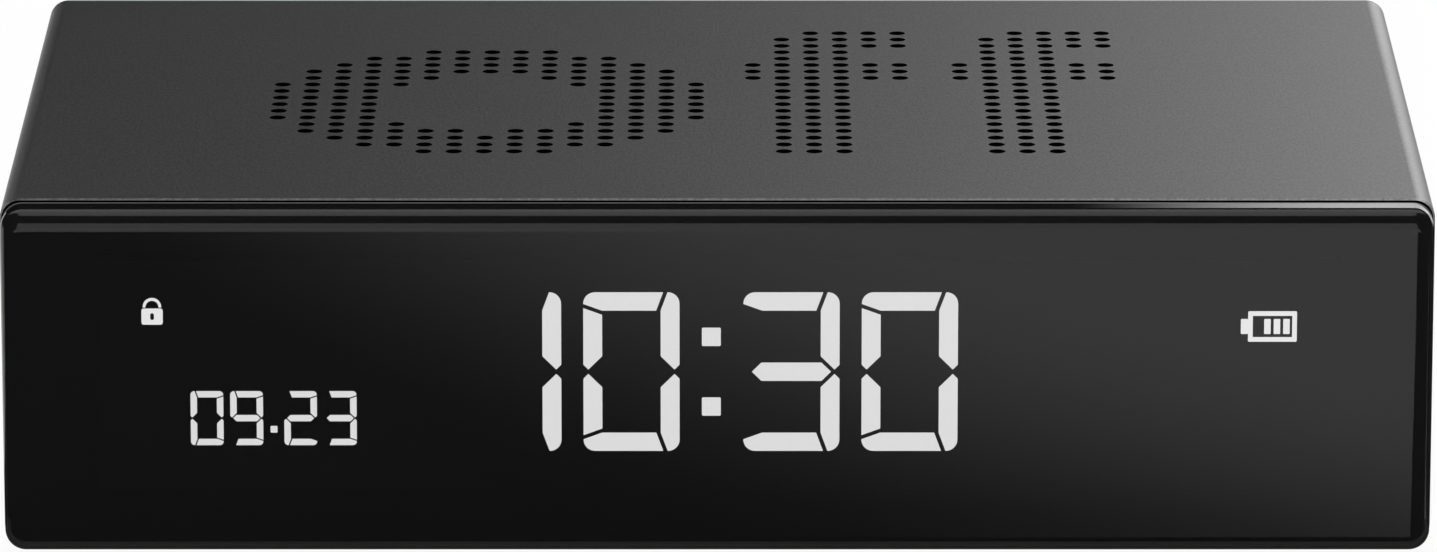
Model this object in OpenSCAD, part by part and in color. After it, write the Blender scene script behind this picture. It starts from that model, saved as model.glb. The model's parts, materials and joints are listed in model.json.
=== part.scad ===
// Flip-over digital alarm clock: aluminium sleeve, gloss front lens, perforated switch words.
// Millimetres. X runs to the right seen from the front, Y to the back, Z up.
// Origin: middle of the footprint, on the surface the clock lies on.

/* [Casing] */
// Overall width of the aluminium sleeve
casing_w = 120; // [116:1:150]
// Overall height of the aluminium sleeve
casing_h = 30; // [29:0.5:40]
// Length of the sleeve from front to back
sleeve_len = 71.25; // [71:0.05:100]
// Wall thickness of the sleeve
sleeve_wall = 2; // [1.8:0.1:2.6]
// Outer radius of the four long edges
sleeve_r = 1.7; // [1.5:0.1:3]
// Inner radius of the four long edges
cavity_r = 0.8; // [0.5:0.1:1.5]
// Chamfer around both open ends
sleeve_chamfer = 0.15; // [0.1:0.05:0.5]
// Wall left outside the rebate in each end
rebate_lip = 1; // [0.8:0.1:1.3]
// Depth of the front rebate that takes the frame's flange
front_rebate = 1.8; // [1.5:0.1:4]

/* [Perforated words] */
// Diameter of each hole
hole_d = 1.4; // [0.8:0.1:1.8]
// Spacing of the holes across the clock
hole_pitch_x = 2.57; // [2.2:0.01:2.8]
// Spacing of the holes from front to back
hole_pitch_y = 2.36; // [2.1:0.01:2.5]
// Space between the round letter and the next letter
round_letter_gap = 4.95; // [3:0.05:7]
// Space between two straight letters
straight_letter_gap = 5.27; // [3:0.05:7]
// Middle of each word, to the left of the clock's middle
word_shift = -1.88; // [-5:0.01:5]
// From the sleeve's front edge to the front row of holes
word_front = 16.05; // [12:0.05:25]
// Thickness of the cloth glued behind each word
mesh_t = 0.3; // [0.2:0.05:0.5]
// Width of the glued border of the cloth around its word
mesh_border = 3; // [2:0.5:5]

/* [Front lens] */
// How far the lens stands in front of the sleeve
lens_proud = 3.75; // [2.6:0.05:4]
// Shadow gap between lens and sleeve
lens_gap = 0.4; // [0.2:0.05:0.6]
// How far the lens edge lies inside the sleeve's outline
lens_inset = 0.2; // [0.1:0.05:0.4]
// Corner radius of the lens
lens_r = 1.75; // [1.55:0.05:3]
// Rounding of the lens front edge
lens_edge_r = 1.5; // [0.5:0.05:1.7]
// Thickness of the lens in front of the display
lens_wall = 1.8; // [1.2:0.1:2]
// Thickness of the bonding tape behind the lens
tape_t = 0.15; // [0.1:0.05:0.25]
// Distance of the tape's outer edge from the flange edge
tape_margin = 0.5; // [0.3:0.1:1]

/* [Display] */
// Dark border of the lens beside the display glass, per side
glass_border = 8; // [7.5:0.5:14]
// Height of the display glass
glass_h = 20; // [18:0.5:20.5]
// Thickness of each glass plate
glass_t = 0.7; // [0.5:0.1:0.9]
// Air gap between the lens and the display glass
display_gap = 0.1; // [0.05:0.05:0.2]
// Height of the contact ledge at the bottom of the front plate
ledge_h = 2.2; // [1.8:0.1:3]
// Space around the display in its pocket and window
display_clear = 0.2; // [0.1:0.05:0.3]
// Thickness of the light guide behind the glass
guide_t = 2.5; // [2:0.1:3.5]
// Width of each backlight lamp
led_w = 1.5; // [1:0.1:1.8]
// Depth of each backlight lamp
led_t = 1.6; // [1:0.1:1.9]
// Height of each backlight lamp
led_h = 4; // [2:0.5:6]
// Thickness of both circuit boards
board_t = 1.6; // [1:0.1:2]

/* [Front frame] */
// Room between a plugged-in moulding and the sleeve, per side
plug_clear = 0.15; // [0.1:0.05:0.25]
// Wall of the frame's spigot inside the sleeve
spigot_wall = 1.2; // [1:0.1:1.6]
// How far the spigot reaches behind the display board's seat
spigot_len = 4.8; // [4:0.1:8]
// Height of the display screws above and below the middle
display_screw_z = 5; // [3:0.5:6]

/* [Screws] */
// Diameter of the casing and board screws
screw_d = 2; // [1.8:0.1:2.4]
// Diameter of their heads
screw_head_d = 3.4; // [3:0.1:3.8]
// Height of their heads
screw_head_h = 1; // [0.8:0.1:1.2]
// Length of the casing screws under the head
screw_len = 9; // [8:0.5:12]
// Diameter of the small display screws
small_screw_d = 1.6; // [1.2:0.1:1.8]
// Head diameter of the small display screws
small_head_d = 2.8; // [2.4:0.1:3]
// Length of the small display screws under the head
small_screw_len = 3.3; // [3:0.1:3.8]
// Room around each screw shank and head
screw_clear = 0.1; // [0.05:0.05:0.2]

/* [Chassis] */
// Room between chassis and sleeve, per side
chassis_clear = 0.3; // [0.2:0.05:0.5]
// Thickness of the chassis floor
floor_t = 1.5; // [1.2:0.1:2]
// Thickness of the chassis side walls
side_wall = 1.5; // [1.2:0.1:2]
// Diameter of the four screw rails
rail_d = 5; // [4.6:0.1:5.4]
// Height of the ribs around the battery
rib_h = 4; // [2:0.5:6]
// Thickness of the ribs around the battery
rib_t = 1.2; // [1:0.1:1.6]

/* [Speaker] */
// Diameter of the speaker flange
speaker_d = 28; // [24:0.5:29]
// Thickness of the speaker flange
flange_t = 1; // [0.8:0.1:1.4]
// Depth of the basket below the flange
basket_depth = 4; // [3:0.5:5]
// Diameter of the magnet
magnet_d = 14; // [10:0.5:15]
// Height of the magnet
magnet_h = 3; // [2:0.5:4]
// Width of the seat that carries the flange
speaker_seat = 1.5; // [1:0.1:2]
// Wall of the speaker chamber around the flange
chamber_wall = 1.3; // [1:0.1:1.6]
// Thickness of the foam ring between flange and cloth
gasket_t = 2; // [1.5:0.1:3]
// Speaker's middle, from front to back
speaker_y = -5; // [-6:0.1:-4]

/* [Battery] */
// Width of the battery cell
battery_w = 48; // [40:1:50]
// Length of the battery cell from front to back
battery_len = 29; // [25:1:30]
// Thickness of the battery cell
battery_t = 7.5; // [5:0.5:9]
// Corner radius of the battery cell
battery_r = 2; // [1:0.5:3]
// Thickness of the tape under the cell
battery_tape_t = 0.5; // [0.3:0.1:0.8]
// Room between the cell and its ribs
battery_clear = 0.3; // [0.2:0.1:0.6]
// How far the cell lies right of the middle of its free space
battery_offset = 1; // [0:0.1:1.5]
// Front edge of the cell from the clock's middle
battery_y = -21.5; // [-23:0.5:-20]
// Diameter of the inner wires
wire_d = 1.2; // [0.8:0.1:1.4]
// Spacing of each pair of wires
wire_pitch = 2.4; // [2:0.1:3]

/* [Main board] */
// Gap between the main board and the chassis walls, per side
board_side_gap = 4.7; // [4:0.1:6]
// Depth of the main board from front to back
board_len = 20; // [19:0.5:20.5]
// Gap between the board's rear edge and a pressed key
board_gap = 0.3; // [0.2:0.1:0.6]
// Distance of the board screws from the board's sides
board_screw_x = 3; // [2.8:0.1:4]
// Distance of the rear board screws from the board's rear edge
board_screw_y = 3.5; // [3:0.1:4.5]
// Distance of the front board screws from the board's front edge
board_screw_front = 8.5; // [8:0.1:9.5]
// Diameter of the posts under the board
post_d = 5; // [4.5:0.1:6]
// How far the board screws reach into the posts
board_screw_bite = 5; // [4:0.1:6]
// Width of the flat cable
ribbon_w = 8; // [6:0.5:9]
// Side of the controller chip
chip_w = 10; // [8:0.5:12]
// Thickness of the controller chip
chip_t = 1.4; // [1:0.1:1.8]
// Spacing of the chip's leads
chip_pitch = 1; // [0.8:0.1:1.1]
// Middle of the chip from the clock's middle
chip_x = -5; // [-6:0.5:-4]
// How far the chip lies in front of the board's middle
chip_setback = 1.5; // [1:0.1:2]
// Length of the crystal's can
crystal_w = 10; // [8:0.5:11]
// Width of the crystal's can
crystal_len = 3.6; // [3:0.1:4.5]
// Height of the crystal's can
crystal_h = 3.4; // [2.5:0.1:4]
// Middle of the crystal from the board's left edge
crystal_margin = 21.5; // [20:0.5:24]

/* [Rear cover and controls] */
// How far the rear cover lies inside the sleeve's end
rear_recess = 1; // [0.8:0.1:1.5]
// Thickness of the rear cover
cover_t = 2; // [1.8:0.1:2.5]
// Width of a key
key_w = 9; // [7:0.5:10]
// Height of a key
key_h = 4.5; // [3.5:0.1:5]
// Spacing of the keys
key_pitch = 13; // [12.6:0.1:13.5]
// First key's middle from the clock's middle
key_x = -37; // [-38:0.5:-36]
// How far a key stands out of the cover
key_proud = 0.6; // [0.55:0.05:0.75]
// Travel of a key
key_travel = 0.5; // [0.3:0.05:0.5]
// Room around each moving control in its opening
key_clear = 0.2; // [0.15:0.05:0.3]
// Width of the lip that keeps a key behind the cover
key_lip = 0.8; // [0.6:0.1:1]
// Thickness of that lip
key_lip_t = 1; // [0.8:0.1:1.1]
// Gap between a moving control and the face it stops against
stop_gap = 0.1; // [0.05:0.05:0.15]
// Depth of the dish in a key's face
key_dish = 0.25; // [0.1:0.05:0.35]
// Distance of the switch bodies from the cover
switch_setback = 2; // [1.9:0.1:2.3]
// Diameter of a switch plunger
plunger_d = 2; // [1.6:0.1:2.4]
// Width of a switch body
tact_w = 6; // [5:0.5:7]
// Depth of a switch body
tact_len = 3.6; // [3:0.1:4.5]
// Middle of the lock slider from the clock's middle
lock_x = 20; // [19:0.5:21]
// Width of the lock slider's knob
knob_w = 4; // [3:0.1:4.5]
// Height of the lock slider's knob
knob_h = 2.6; // [2.2:0.1:3]
// Travel of the lock slider
lock_travel = 3; // [2:0.1:3]

/* [Charging socket] */
// Middle of the socket from the clock's middle
usb_x = 38; // [37:0.5:39]
// Outer width of the socket shell
usb_w = 8.94; // [8.9:0.01:9]
// Outer height of the socket shell
usb_h = 3.26; // [3.2:0.01:3.3]
// Sheet thickness of the socket shell
usb_wall = 0.3; // [0.25:0.05:0.35]
// Length of the socket shell
usb_len = 7.3; // [6.8:0.1:8]
// Width of the contact tongue
tongue_w = 6.7; // [6.6:0.05:6.8]
// Thickness of the contact tongue
tongue_t = 0.7; // [0.6:0.05:0.8]

/* [Tilt switch] */
// Middle of the can from the clock's middle
tilt_x = 29; // [28:0.5:30]
// Outer diameter of the can
tilt_can_d = 6; // [5.5:0.1:7]
// Wall of the can
tilt_wall = 0.6; // [0.4:0.05:0.7]
// Diameter of the ball
tilt_ball_d = 4; // [3:0.1:4]
// Travel of the ball when the clock is turned over
tilt_travel = 3; // [2:0.1:4]
// Room left above the ball at the end of its travel
tilt_room = 0.3; // [0.2:0.1:0.5]
// Thickness of the base disc
tilt_base_t = 1; // [0.8:0.1:1.5]

/* [Hidden] */
$fn = 64;
EPS = 0.01;

depth = sleeve_len + lens_proud;
y_front = -depth / 2;
y_sleeve = y_front + lens_proud;
y_back = depth / 2;
z_mid = casing_h / 2;
cavity_w = casing_w - 2 * sleeve_wall;
cavity_h = casing_h - 2 * sleeve_wall;
z_floor = sleeve_wall;
z_roof = casing_h - sleeve_wall;
rebate_w = casing_w - 2 * rebate_lip;
rebate_h = casing_h - 2 * rebate_lip;
least_r = 0.5;
rebate_r = max(sleeve_r - rebate_lip, least_r);
y_front_ledge = y_sleeve + front_rebate;
y_rear_ledge = y_back - rear_recess - cover_t;

lens_w = casing_w - 2 * lens_inset;
lens_h = casing_h - 2 * lens_inset;
y_lens_back = y_sleeve - lens_gap;
y_pocket = y_front + lens_wall;
y_frame = y_lens_back + tape_t;
glass_w = casing_w - 2 * glass_border;
window_w = glass_w + 2 * display_clear;
window_h = glass_h + 2 * display_clear;
window_r = least_r;

y_glass = y_pocket + display_gap;
y_glass_joint = y_glass + glass_t;
y_guide = y_glass_joint + glass_t;
y_display_board = y_guide + guide_t;
y_display_back = y_display_board + board_t;
y_spigot_end = y_display_board + spigot_len;
z_glass = z_mid - glass_h / 2;
z_rear_glass = z_glass + ledge_h;
led_clear = 0.5;
guide_w = glass_w - 2 * (led_w + led_clear);
guide_h = glass_h - ledge_h;
zebra_margin = 4;
zebra_h = ledge_h - 2 * display_clear;

flange_w = rebate_w - 2 * plug_clear;
flange_h = rebate_h - 2 * plug_clear;
spigot_w = cavity_w - 2 * plug_clear;
spigot_h = cavity_h - 2 * plug_clear;
frame_pocket_w = spigot_w - 2 * spigot_wall;
frame_pocket_h = spigot_h - 2 * spigot_wall;
display_board_w = frame_pocket_w - 2 * display_clear;
display_board_h = frame_pocket_h - 2 * display_clear;
display_screw_x = (window_w + frame_pocket_w) / 4;

rail_x = cavity_w / 2 - chassis_clear - rail_d / 2;
rail_z = cavity_h / 2 - chassis_clear - rail_d / 2;
chassis_w = cavity_w - 2 * chassis_clear;
z_chassis = z_floor + mesh_t + chassis_clear;
z_deck = z_chassis + floor_t;
z_wall_top = z_roof - mesh_t - chassis_clear;
screw_bore = screw_d + 2 * screw_clear;
head_bore = screw_head_d + 2 * screw_clear;
small_bore = small_screw_d + 2 * screw_clear;
screw_head_sink = screw_head_h + screw_clear;
recess_w = 0.5;
recess_depth = 0.6;
recess_share = 0.6;

letter_rows = 19;
x_height_row = 3;
round_cols = 15;
f_cols = 6;
n_cols = 11;
y_word = y_sleeve + word_front;
round_w = (round_cols - 1) * hole_pitch_x;
f_w = (f_cols - 1) * hole_pitch_x;
n_w = (n_cols - 1) * hole_pitch_x;
off_w = round_w + round_letter_gap + f_w + straight_letter_gap + f_w;
on_w = round_w + round_letter_gap + n_w;
word_len = (letter_rows - 1) * hole_pitch_y;
mesh_len = word_len + 2 * mesh_border;

speaker_x = word_shift - off_w / 2 + round_w / 2;
z_flange = z_roof - mesh_t - gasket_t - flange_t;
chamber_d = speaker_d + 2 * screw_clear + 2 * chamber_wall;
chamber_bore = speaker_d - 2 * speaker_seat;
basket_clear = 0.5;
basket_d = chamber_bore - 2 * basket_clear;
magnet_rim = 1;
basket_floor_d = magnet_d + 2 * magnet_rim;
basket_windows = 4;
window_share = 0.4;
basket_wall = 0.8;
cone_t = 0.4;
cone_neck_d = 7;
cone_rise = 1.4;
cap_h = 1;
surround_w = 2;
coil_gap = 0.8;
terminal_w = 6;
terminal_h = 2.2;
y_terminal = speaker_y + basket_d / 2;

chassis_in = chassis_w / 2 - side_wall;
z_battery = z_deck + battery_tape_t;
battery_mid = (speaker_x + chamber_d / 2 + chassis_in) / 2 + battery_offset;
y_battery_back = battery_y + battery_len;
battery_lead_in = 9;
battery_lead_x = battery_mid - battery_w / 2 + battery_lead_in;

board_w = 2 * (chassis_in - board_side_gap);
z_board_top = z_mid - usb_h / 2;
z_board = z_board_top - board_t;
y_cover_in = y_rear_ledge;
y_cover_out = y_rear_ledge + cover_t;
y_key_lip = y_cover_in - stop_gap - key_lip_t;
y_board_back = y_key_lip - key_travel - board_gap;
y_board_front = y_board_back - board_len;
post_x = board_w / 2 - board_screw_x;
y_board_mid = (y_board_front + y_board_back) / 2;
post_y = [y_board_front + board_screw_front, y_board_back - board_screw_y];
board_screw_len = board_t + board_screw_bite;

key_names = ["set", "alarm", "minus", "plus"];
key_pos = [for (i = [0 : len(key_names) - 1]) key_x + i * key_pitch];
y_tact_back = y_cover_in - switch_setback;
plunger_in = 0.8;
plunger_room = key_travel + stop_gap;
lock_slot_w = knob_w + lock_travel;
slide_body_w = 9;
slide_stem_w = 1.6;
slide_stem_h = 1.2;
shield_t = 0.8;
shield_lip = 0.8;
shield_h = knob_h + 2 * shield_lip;
shield_w = lock_slot_w + lock_travel + 2 * shield_lip;
knob_grooves = 3;
crystal_rim = 0.5;
lead_share = 0.4;
side_leads = 3;

y_usb = y_cover_out - usb_len;
usb_back_t = 1.2;
tongue_len = 5;
tilt_pos = [tilt_x, y_board_mid];
tilt_bore = tilt_can_d - 2 * tilt_wall;
z_tilt_base = z_board_top + tilt_base_t;
tilt_can_h = tilt_ball_d + tilt_travel + tilt_room + tilt_wall;

socket_h = 2.2;
socket_wall = 1;
socket_setback = 0.8;
ribbon_x = (speaker_x - chamber_d / 2 - chassis_in) / 2;
ribbon_t = 0.3;
ribbon_sag = 3;
ribbon_steps = 24;
z_ribbon = z_board_top + socket_h / 2;
display_socket_len = 3;
main_socket_len = 4.5;
y_main_socket = y_board_front + socket_setback;
plug_size = [7, 5, 4];

// Outline with four round corners, centred.
module rounded_rect(w, h, r) {
    square([w - 2 * r, h], center = true);
    square([w, h - 2 * r], center = true);
    for (x = [-1, 1], z = [-1, 1])
        translate([x * (w / 2 - r), z * (h / 2 - r)])
            circle(r);
}

// Outline with two half-round ends, centred.
module pill(w, h) {
    square([w - h, h], center = true);
    for (x = [-1, 1])
        translate([x * (w - h) / 2, 0])
            circle(d = h);
}

// Stands an outline upright across the clock and gives it depth from y0 to y1.
module upright(y0, y1, x = 0, z = z_mid) {
    translate([x, y1, z])
        rotate([90, 0, 0])
            linear_extrude(y1 - y0)
                children();
}

// Round bar along Y from y0 to y1.
module bar_y(y0, y1, d, x, z) {
    translate([x, y0, z])
        rotate([-90, 0, 0])
            cylinder(d = d, h = y1 - y0);
}

// Cutter that runs around the edge of a rounded rectangle whose face lies at z = 0.
// Its child is the outline of the cut, measured out from the corner's axis.
module edge_cutter(w, h, r) {
    for (mx = [0, 1], mz = [0, 1])
        mirror([mx, 0, 0])
            mirror([0, mz, 0])
                translate([w / 2 - r, h / 2 - r, 0])
                    rotate_extrude(angle = 90)
                        children();
    for (mz = [0, 1])
        mirror([0, mz, 0])
            translate([-(w / 2 - r), h / 2 - r, 0])
                rotate([90, 0, 90])
                    linear_extrude(w - 2 * r)
                        children();
    for (mx = [0, 1])
        mirror([mx, 0, 0])
            translate([w / 2 - r, h / 2 - r, 0])
                rotate([90, 0, 0])
                    linear_extrude(h - 2 * r)
                        children();
}

// Section that takes a 45 degree chamfer off an edge of corner radius r.
module chamfer_section(r, c) {
    polygon([[r - 2 * c, c], [r + c, -2 * c], [r + c, c]]);
}

// Section that rounds an edge of corner radius r.
module round_section(r, edge) {
    difference() {
        translate([r - edge, -edge])
            square(2 * edge);
        translate([r - edge, -edge])
            circle(edge);
    }
}

// Screw that points to +Z, its head's seat at z = 0, with a cross recess.
module screw(d, head_d, head_h, length) {
    cylinder(d = d, h = length);
    difference() {
        translate([0, 0, -head_h])
            cylinder(d = head_d, h = head_h);
        for (a = [0, 90])
            rotate([0, 0, a])
                translate([-head_d * recess_share / 2, -recess_w / 2, -head_h - EPS])
                    cube([head_d * recess_share, recess_w, recess_depth]);
    }
}

// Wire through the listed [y, z] points in the plane at x, with a ball in each bend.
module wire(points, x) {
    for (i = [0 : len(points) - 2]) {
        step = points[i + 1] - points[i];
        translate([x, points[i][0], points[i][1]])
            rotate([atan2(-step[0], step[1]), 0, 0])
                cylinder(d = wire_d, h = norm(step));
    }
    for (i = [1 : len(points) - 2])
        translate([x, points[i][0], points[i][1]])
            sphere(d = wire_d);
}

// Round letter: a ring between two ellipses, the inner one a little low.
function ellipse(c, r, mid_c, mid_r, a, b) = pow((c - mid_c) / a, 2) + pow((r - mid_r) / b, 2);
function o_dot(r, c) = ellipse(c, r, 7, 10.5, 7.5, 8) <= 1 && ellipse(c, r, 7, 10.8, 3.6, 4.2) >= 1;
// Tall letter: stem, hook and cross bar, with one corner of the hook left off.
function f_dot(r, c) =
    (c >= 1 && c <= 3 || r <= 2 && c >= 1 || r >= 5 && r <= 7) && !(r == 0 && c == 1);
// Arched letter: two stems joined by the upper half of a ring.
function n_arch(r, c) = ellipse(c, r, 5, 9, 5.6, 6.2) <= 1 && ellipse(c, r, 5, 9, 2.4, 3.2) >= 1;
function n_dot(r, c) =
    r >= x_height_row && (c <= 2 || r >= 9 && c >= 8 || r < 9 && n_arch(r, c));
function dot(letter, r, c) =
    letter == "o" ? o_dot(r, c) : letter == "f" ? f_dot(r, c) : n_dot(r, c);

module letter_holes(letter, cols, x) {
    for (r = [0 : letter_rows - 1], c = [0 : cols - 1])
        if (dot(letter, r, c))
            translate([
                x + c * hole_pitch_x,
                y_word + (letter_rows - 1 - r) * hole_pitch_y,
                z_roof - sleeve_wall
            ])
                cylinder(d = hole_d, h = 3 * sleeve_wall);
}

module off_holes() {
    x = word_shift - off_w / 2;
    x_f = x + round_w + round_letter_gap;
    letter_holes("o", round_cols, x);
    letter_holes("f", f_cols, x_f);
    letter_holes("f", f_cols, x_f + f_w + straight_letter_gap);
}

module on_holes() {
    x = word_shift - on_w / 2;
    letter_holes("o", round_cols, x);
    letter_holes("n", n_cols, x + round_w + round_letter_gap);
}

// The clock turned over about its front-to-back axis, so its underside faces up.
module turned_over() {
    translate([0, 0, casing_h])
        rotate([0, 180, 0])
            children();
}

module sleeve() {
    color("dimgray")
        difference() {
            upright(y_sleeve, y_back)
                rounded_rect(casing_w, casing_h, sleeve_r);
            upright(y_sleeve - 1, y_back + 1)
                rounded_rect(cavity_w, cavity_h, cavity_r);
            upright(y_sleeve - 1, y_front_ledge)
                rounded_rect(rebate_w, rebate_h, rebate_r);
            upright(y_rear_ledge, y_back + 1)
                rounded_rect(rebate_w, rebate_h, rebate_r);
            translate([0, y_sleeve, z_mid])
                rotate([90, 0, 0])
                    edge_cutter(casing_w, casing_h, sleeve_r)
                        chamfer_section(sleeve_r, sleeve_chamfer);
            translate([0, y_back, z_mid])
                mirror([0, 1, 0])
                    rotate([90, 0, 0])
                        edge_cutter(casing_w, casing_h, sleeve_r)
                            chamfer_section(sleeve_r, sleeve_chamfer);
            off_holes();
            turned_over()
                on_holes();
        }
}

// Cloth glued to the roof behind a word of width w.
module word_cloth(w) {
    translate([word_shift, y_word + word_len / 2, z_roof - mesh_t])
        linear_extrude(mesh_t)
            rounded_rect(w + 2 * mesh_border, mesh_len, mesh_border / 2);
}

module top_mesh() {
    color("black")
        word_cloth(off_w);
}

module bottom_mesh() {
    color("black")
        turned_over()
            word_cloth(on_w);
}

module front_lens() {
    color([0.05, 0.05, 0.05, 0.8])
        difference() {
            upright(y_front, y_lens_back)
                rounded_rect(lens_w, lens_h, lens_r);
            upright(y_pocket, y_lens_back + 1)
                rounded_rect(window_w, window_h, window_r);
            translate([0, y_front, z_mid])
                rotate([90, 0, 0])
                    edge_cutter(lens_w, lens_h, lens_r)
                        round_section(lens_r, lens_edge_r);
        }
}

module lens_tape() {
    color("gray")
        difference() {
            upright(y_lens_back, y_frame)
                rounded_rect(flange_w - 2 * tape_margin, flange_h - 2 * tape_margin, rebate_r);
            upright(y_lens_back - 1, y_frame + 1)
                rounded_rect(window_w + 2 * tape_margin, window_h + 2 * tape_margin, window_r);
        }
}

module front_frame() {
    color("black")
        difference() {
            union() {
                upright(y_frame, y_front_ledge)
                    rounded_rect(flange_w, flange_h, rebate_r - plug_clear);
                upright(y_front_ledge - EPS, y_display_board)
                    rounded_rect(spigot_w, spigot_h, cavity_r);
                difference() {
                    upright(y_front_ledge - EPS, y_spigot_end)
                        rounded_rect(spigot_w, spigot_h, cavity_r);
                    upright(y_display_board, y_spigot_end + 1)
                        rounded_rect(frame_pocket_w, frame_pocket_h, window_r);
                }
                for (x = [-rail_x, rail_x], z = [-rail_z, rail_z])
                    bar_y(y_front_ledge, y_spigot_end, rail_d, x, z_mid + z);
            }
            upright(y_frame - 1, y_display_board + EPS)
                rounded_rect(window_w, window_h, window_r);
            for (x = [-rail_x, rail_x], z = [-rail_z, rail_z]) {
                bar_y(y_frame - 1, y_spigot_end + 1, screw_bore, x, z_mid + z);
                bar_y(y_frame - 1, y_frame + screw_head_sink, head_bore, x, z_mid + z);
            }
            for (x = [-display_screw_x, display_screw_x], z = [-display_screw_z, display_screw_z])
                bar_y(y_display_back - small_screw_len - screw_clear, y_display_board + 1,
                    small_bore, x, z_mid + z);
        }
}

module lcd_front_glass() {
    color("darkslategray")
        translate([-glass_w / 2, y_glass, z_glass])
            cube([glass_w, glass_t, glass_h]);
}

module lcd_rear_glass() {
    color("slategray")
        translate([-glass_w / 2, y_glass_joint, z_rear_glass])
            cube([glass_w, glass_t, glass_h - ledge_h]);
}

// Clear plate with a row of shallow light-spreading grooves on its back.
module light_guide() {
    groove_d = 0.6;
    groove_pitch = 4;
    color("white")
        difference() {
            translate([-guide_w / 2, y_guide, z_rear_glass])
                cube([guide_w, guide_t, guide_h]);
            for (x = [groove_pitch - guide_w / 2 : groove_pitch : guide_w / 2 - groove_d])
                translate([x, y_display_board, z_rear_glass - 1])
                    cylinder(d = groove_d, h = guide_h + 2);
        }
}

module backlight_leds() {
    color("lightyellow")
        for (side = [-1, 1])
            translate([
                side * (guide_w + led_w) / 2 - led_w / 2,
                y_display_board - led_t,
                z_rear_glass + (guide_h - led_h) / 2
            ])
                cube([led_w, led_t, led_h]);
}

module zebra_strip() {
    color("lightgray")
        translate([zebra_margin - glass_w / 2, y_glass_joint, z_glass + display_clear])
            cube([glass_w - 2 * zebra_margin, y_display_board - y_glass_joint, zebra_h]);
}

module display_board() {
    color("darkgreen")
        difference() {
            upright(y_display_board, y_display_back)
                rounded_rect(display_board_w, display_board_h, window_r);
            for (x = [-rail_x, rail_x], z = [-rail_z, rail_z])
                bar_y(y_display_board - 1, y_display_back + 1, rail_d + 2 * display_clear, x, z_mid + z);
            for (x = [-display_screw_x, display_screw_x], z = [-display_screw_z, display_screw_z])
                bar_y(y_display_board - 1, y_display_back + 1, small_bore, x, z_mid + z);
        }
}

module display_screws() {
    color("silver")
        for (x = [-display_screw_x, display_screw_x], z = [-display_screw_z, display_screw_z])
            translate([x, y_display_back, z_mid + z])
                rotate([90, 0, 0])
                    screw(small_screw_d, small_head_d, screw_head_h, small_screw_len);
}

module frame_screws() {
    color("silver")
        for (x = [-rail_x, rail_x], z = [-rail_z, rail_z])
            translate([x, y_frame + screw_head_sink, z_mid + z])
                rotate([-90, 0, 0])
                    screw(screw_d, screw_head_d, screw_head_h, screw_len);
}

// Open box of ribs that keeps the battery in its place on the floor.
module battery_bay() {
    inner = [battery_w + 2 * battery_clear, battery_len + 2 * battery_clear];
    translate([battery_mid, battery_y + battery_len / 2, z_deck - EPS])
        difference() {
            linear_extrude(rib_h)
                rounded_rect(inner[0] + 2 * rib_t, inner[1] + 2 * rib_t, battery_r);
            translate([0, 0, -1])
                linear_extrude(rib_h + 2)
                    rounded_rect(inner[0], inner[1], battery_r / 2);
        }
}

// Tube that carries the speaker flange and closes the air space behind the cone.
module speaker_chamber() {
    translate([speaker_x, speaker_y, z_chassis])
        difference() {
            cylinder(d = chamber_d, h = z_flange + flange_t - z_chassis);
            translate([0, 0, floor_t])
                cylinder(d = chamber_bore, h = casing_h);
            translate([0, 0, z_flange - z_chassis])
                cylinder(d = speaker_d + 2 * screw_clear, h = casing_h);
            translate([-terminal_w / 2, 0, z_flange - terminal_h - z_chassis])
                cube([terminal_w, chamber_d, casing_h]);
        }
}

module chassis() {
    color("black")
        difference() {
            union() {
                translate([-chassis_w / 2, y_spigot_end, z_chassis])
                    cube([chassis_w, y_cover_in - y_spigot_end, floor_t]);
                for (x = [-chassis_w / 2, chassis_w / 2 - side_wall])
                    translate([x, y_spigot_end, z_chassis])
                        cube([side_wall, y_cover_in - y_spigot_end, z_wall_top - z_chassis]);
                for (x = [-rail_x, rail_x], z = [-rail_z, rail_z])
                    bar_y(y_spigot_end, y_cover_in, rail_d, x, z_mid + z);
                for (x = [-post_x, post_x], y = post_y)
                    translate([x, y, z_chassis])
                        cylinder(d = post_d, h = z_board - z_chassis);
                speaker_chamber();
                battery_bay();
            }
            for (x = [-rail_x, rail_x], z = [-rail_z, rail_z]) {
                bar_y(y_spigot_end - 1, y_frame + screw_head_sink + screw_len + screw_clear,
                    screw_bore, x, z_mid + z);
                bar_y(y_cover_out - screw_head_sink - screw_len - screw_clear, y_cover_in + 1,
                    screw_bore, x, z_mid + z);
            }
            for (x = [-post_x, post_x], y = post_y)
                translate([x, y, z_board_top - board_screw_len - screw_clear])
                    cylinder(d = screw_bore, h = board_screw_len);
        }
}

module speaker_gasket() {
    color("dimgray")
        translate([speaker_x, speaker_y, z_flange + flange_t])
            difference() {
                cylinder(d = speaker_d, h = gasket_t);
                translate([0, 0, -1])
                    cylinder(d = chamber_bore, h = gasket_t + 2);
            }
}

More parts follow.
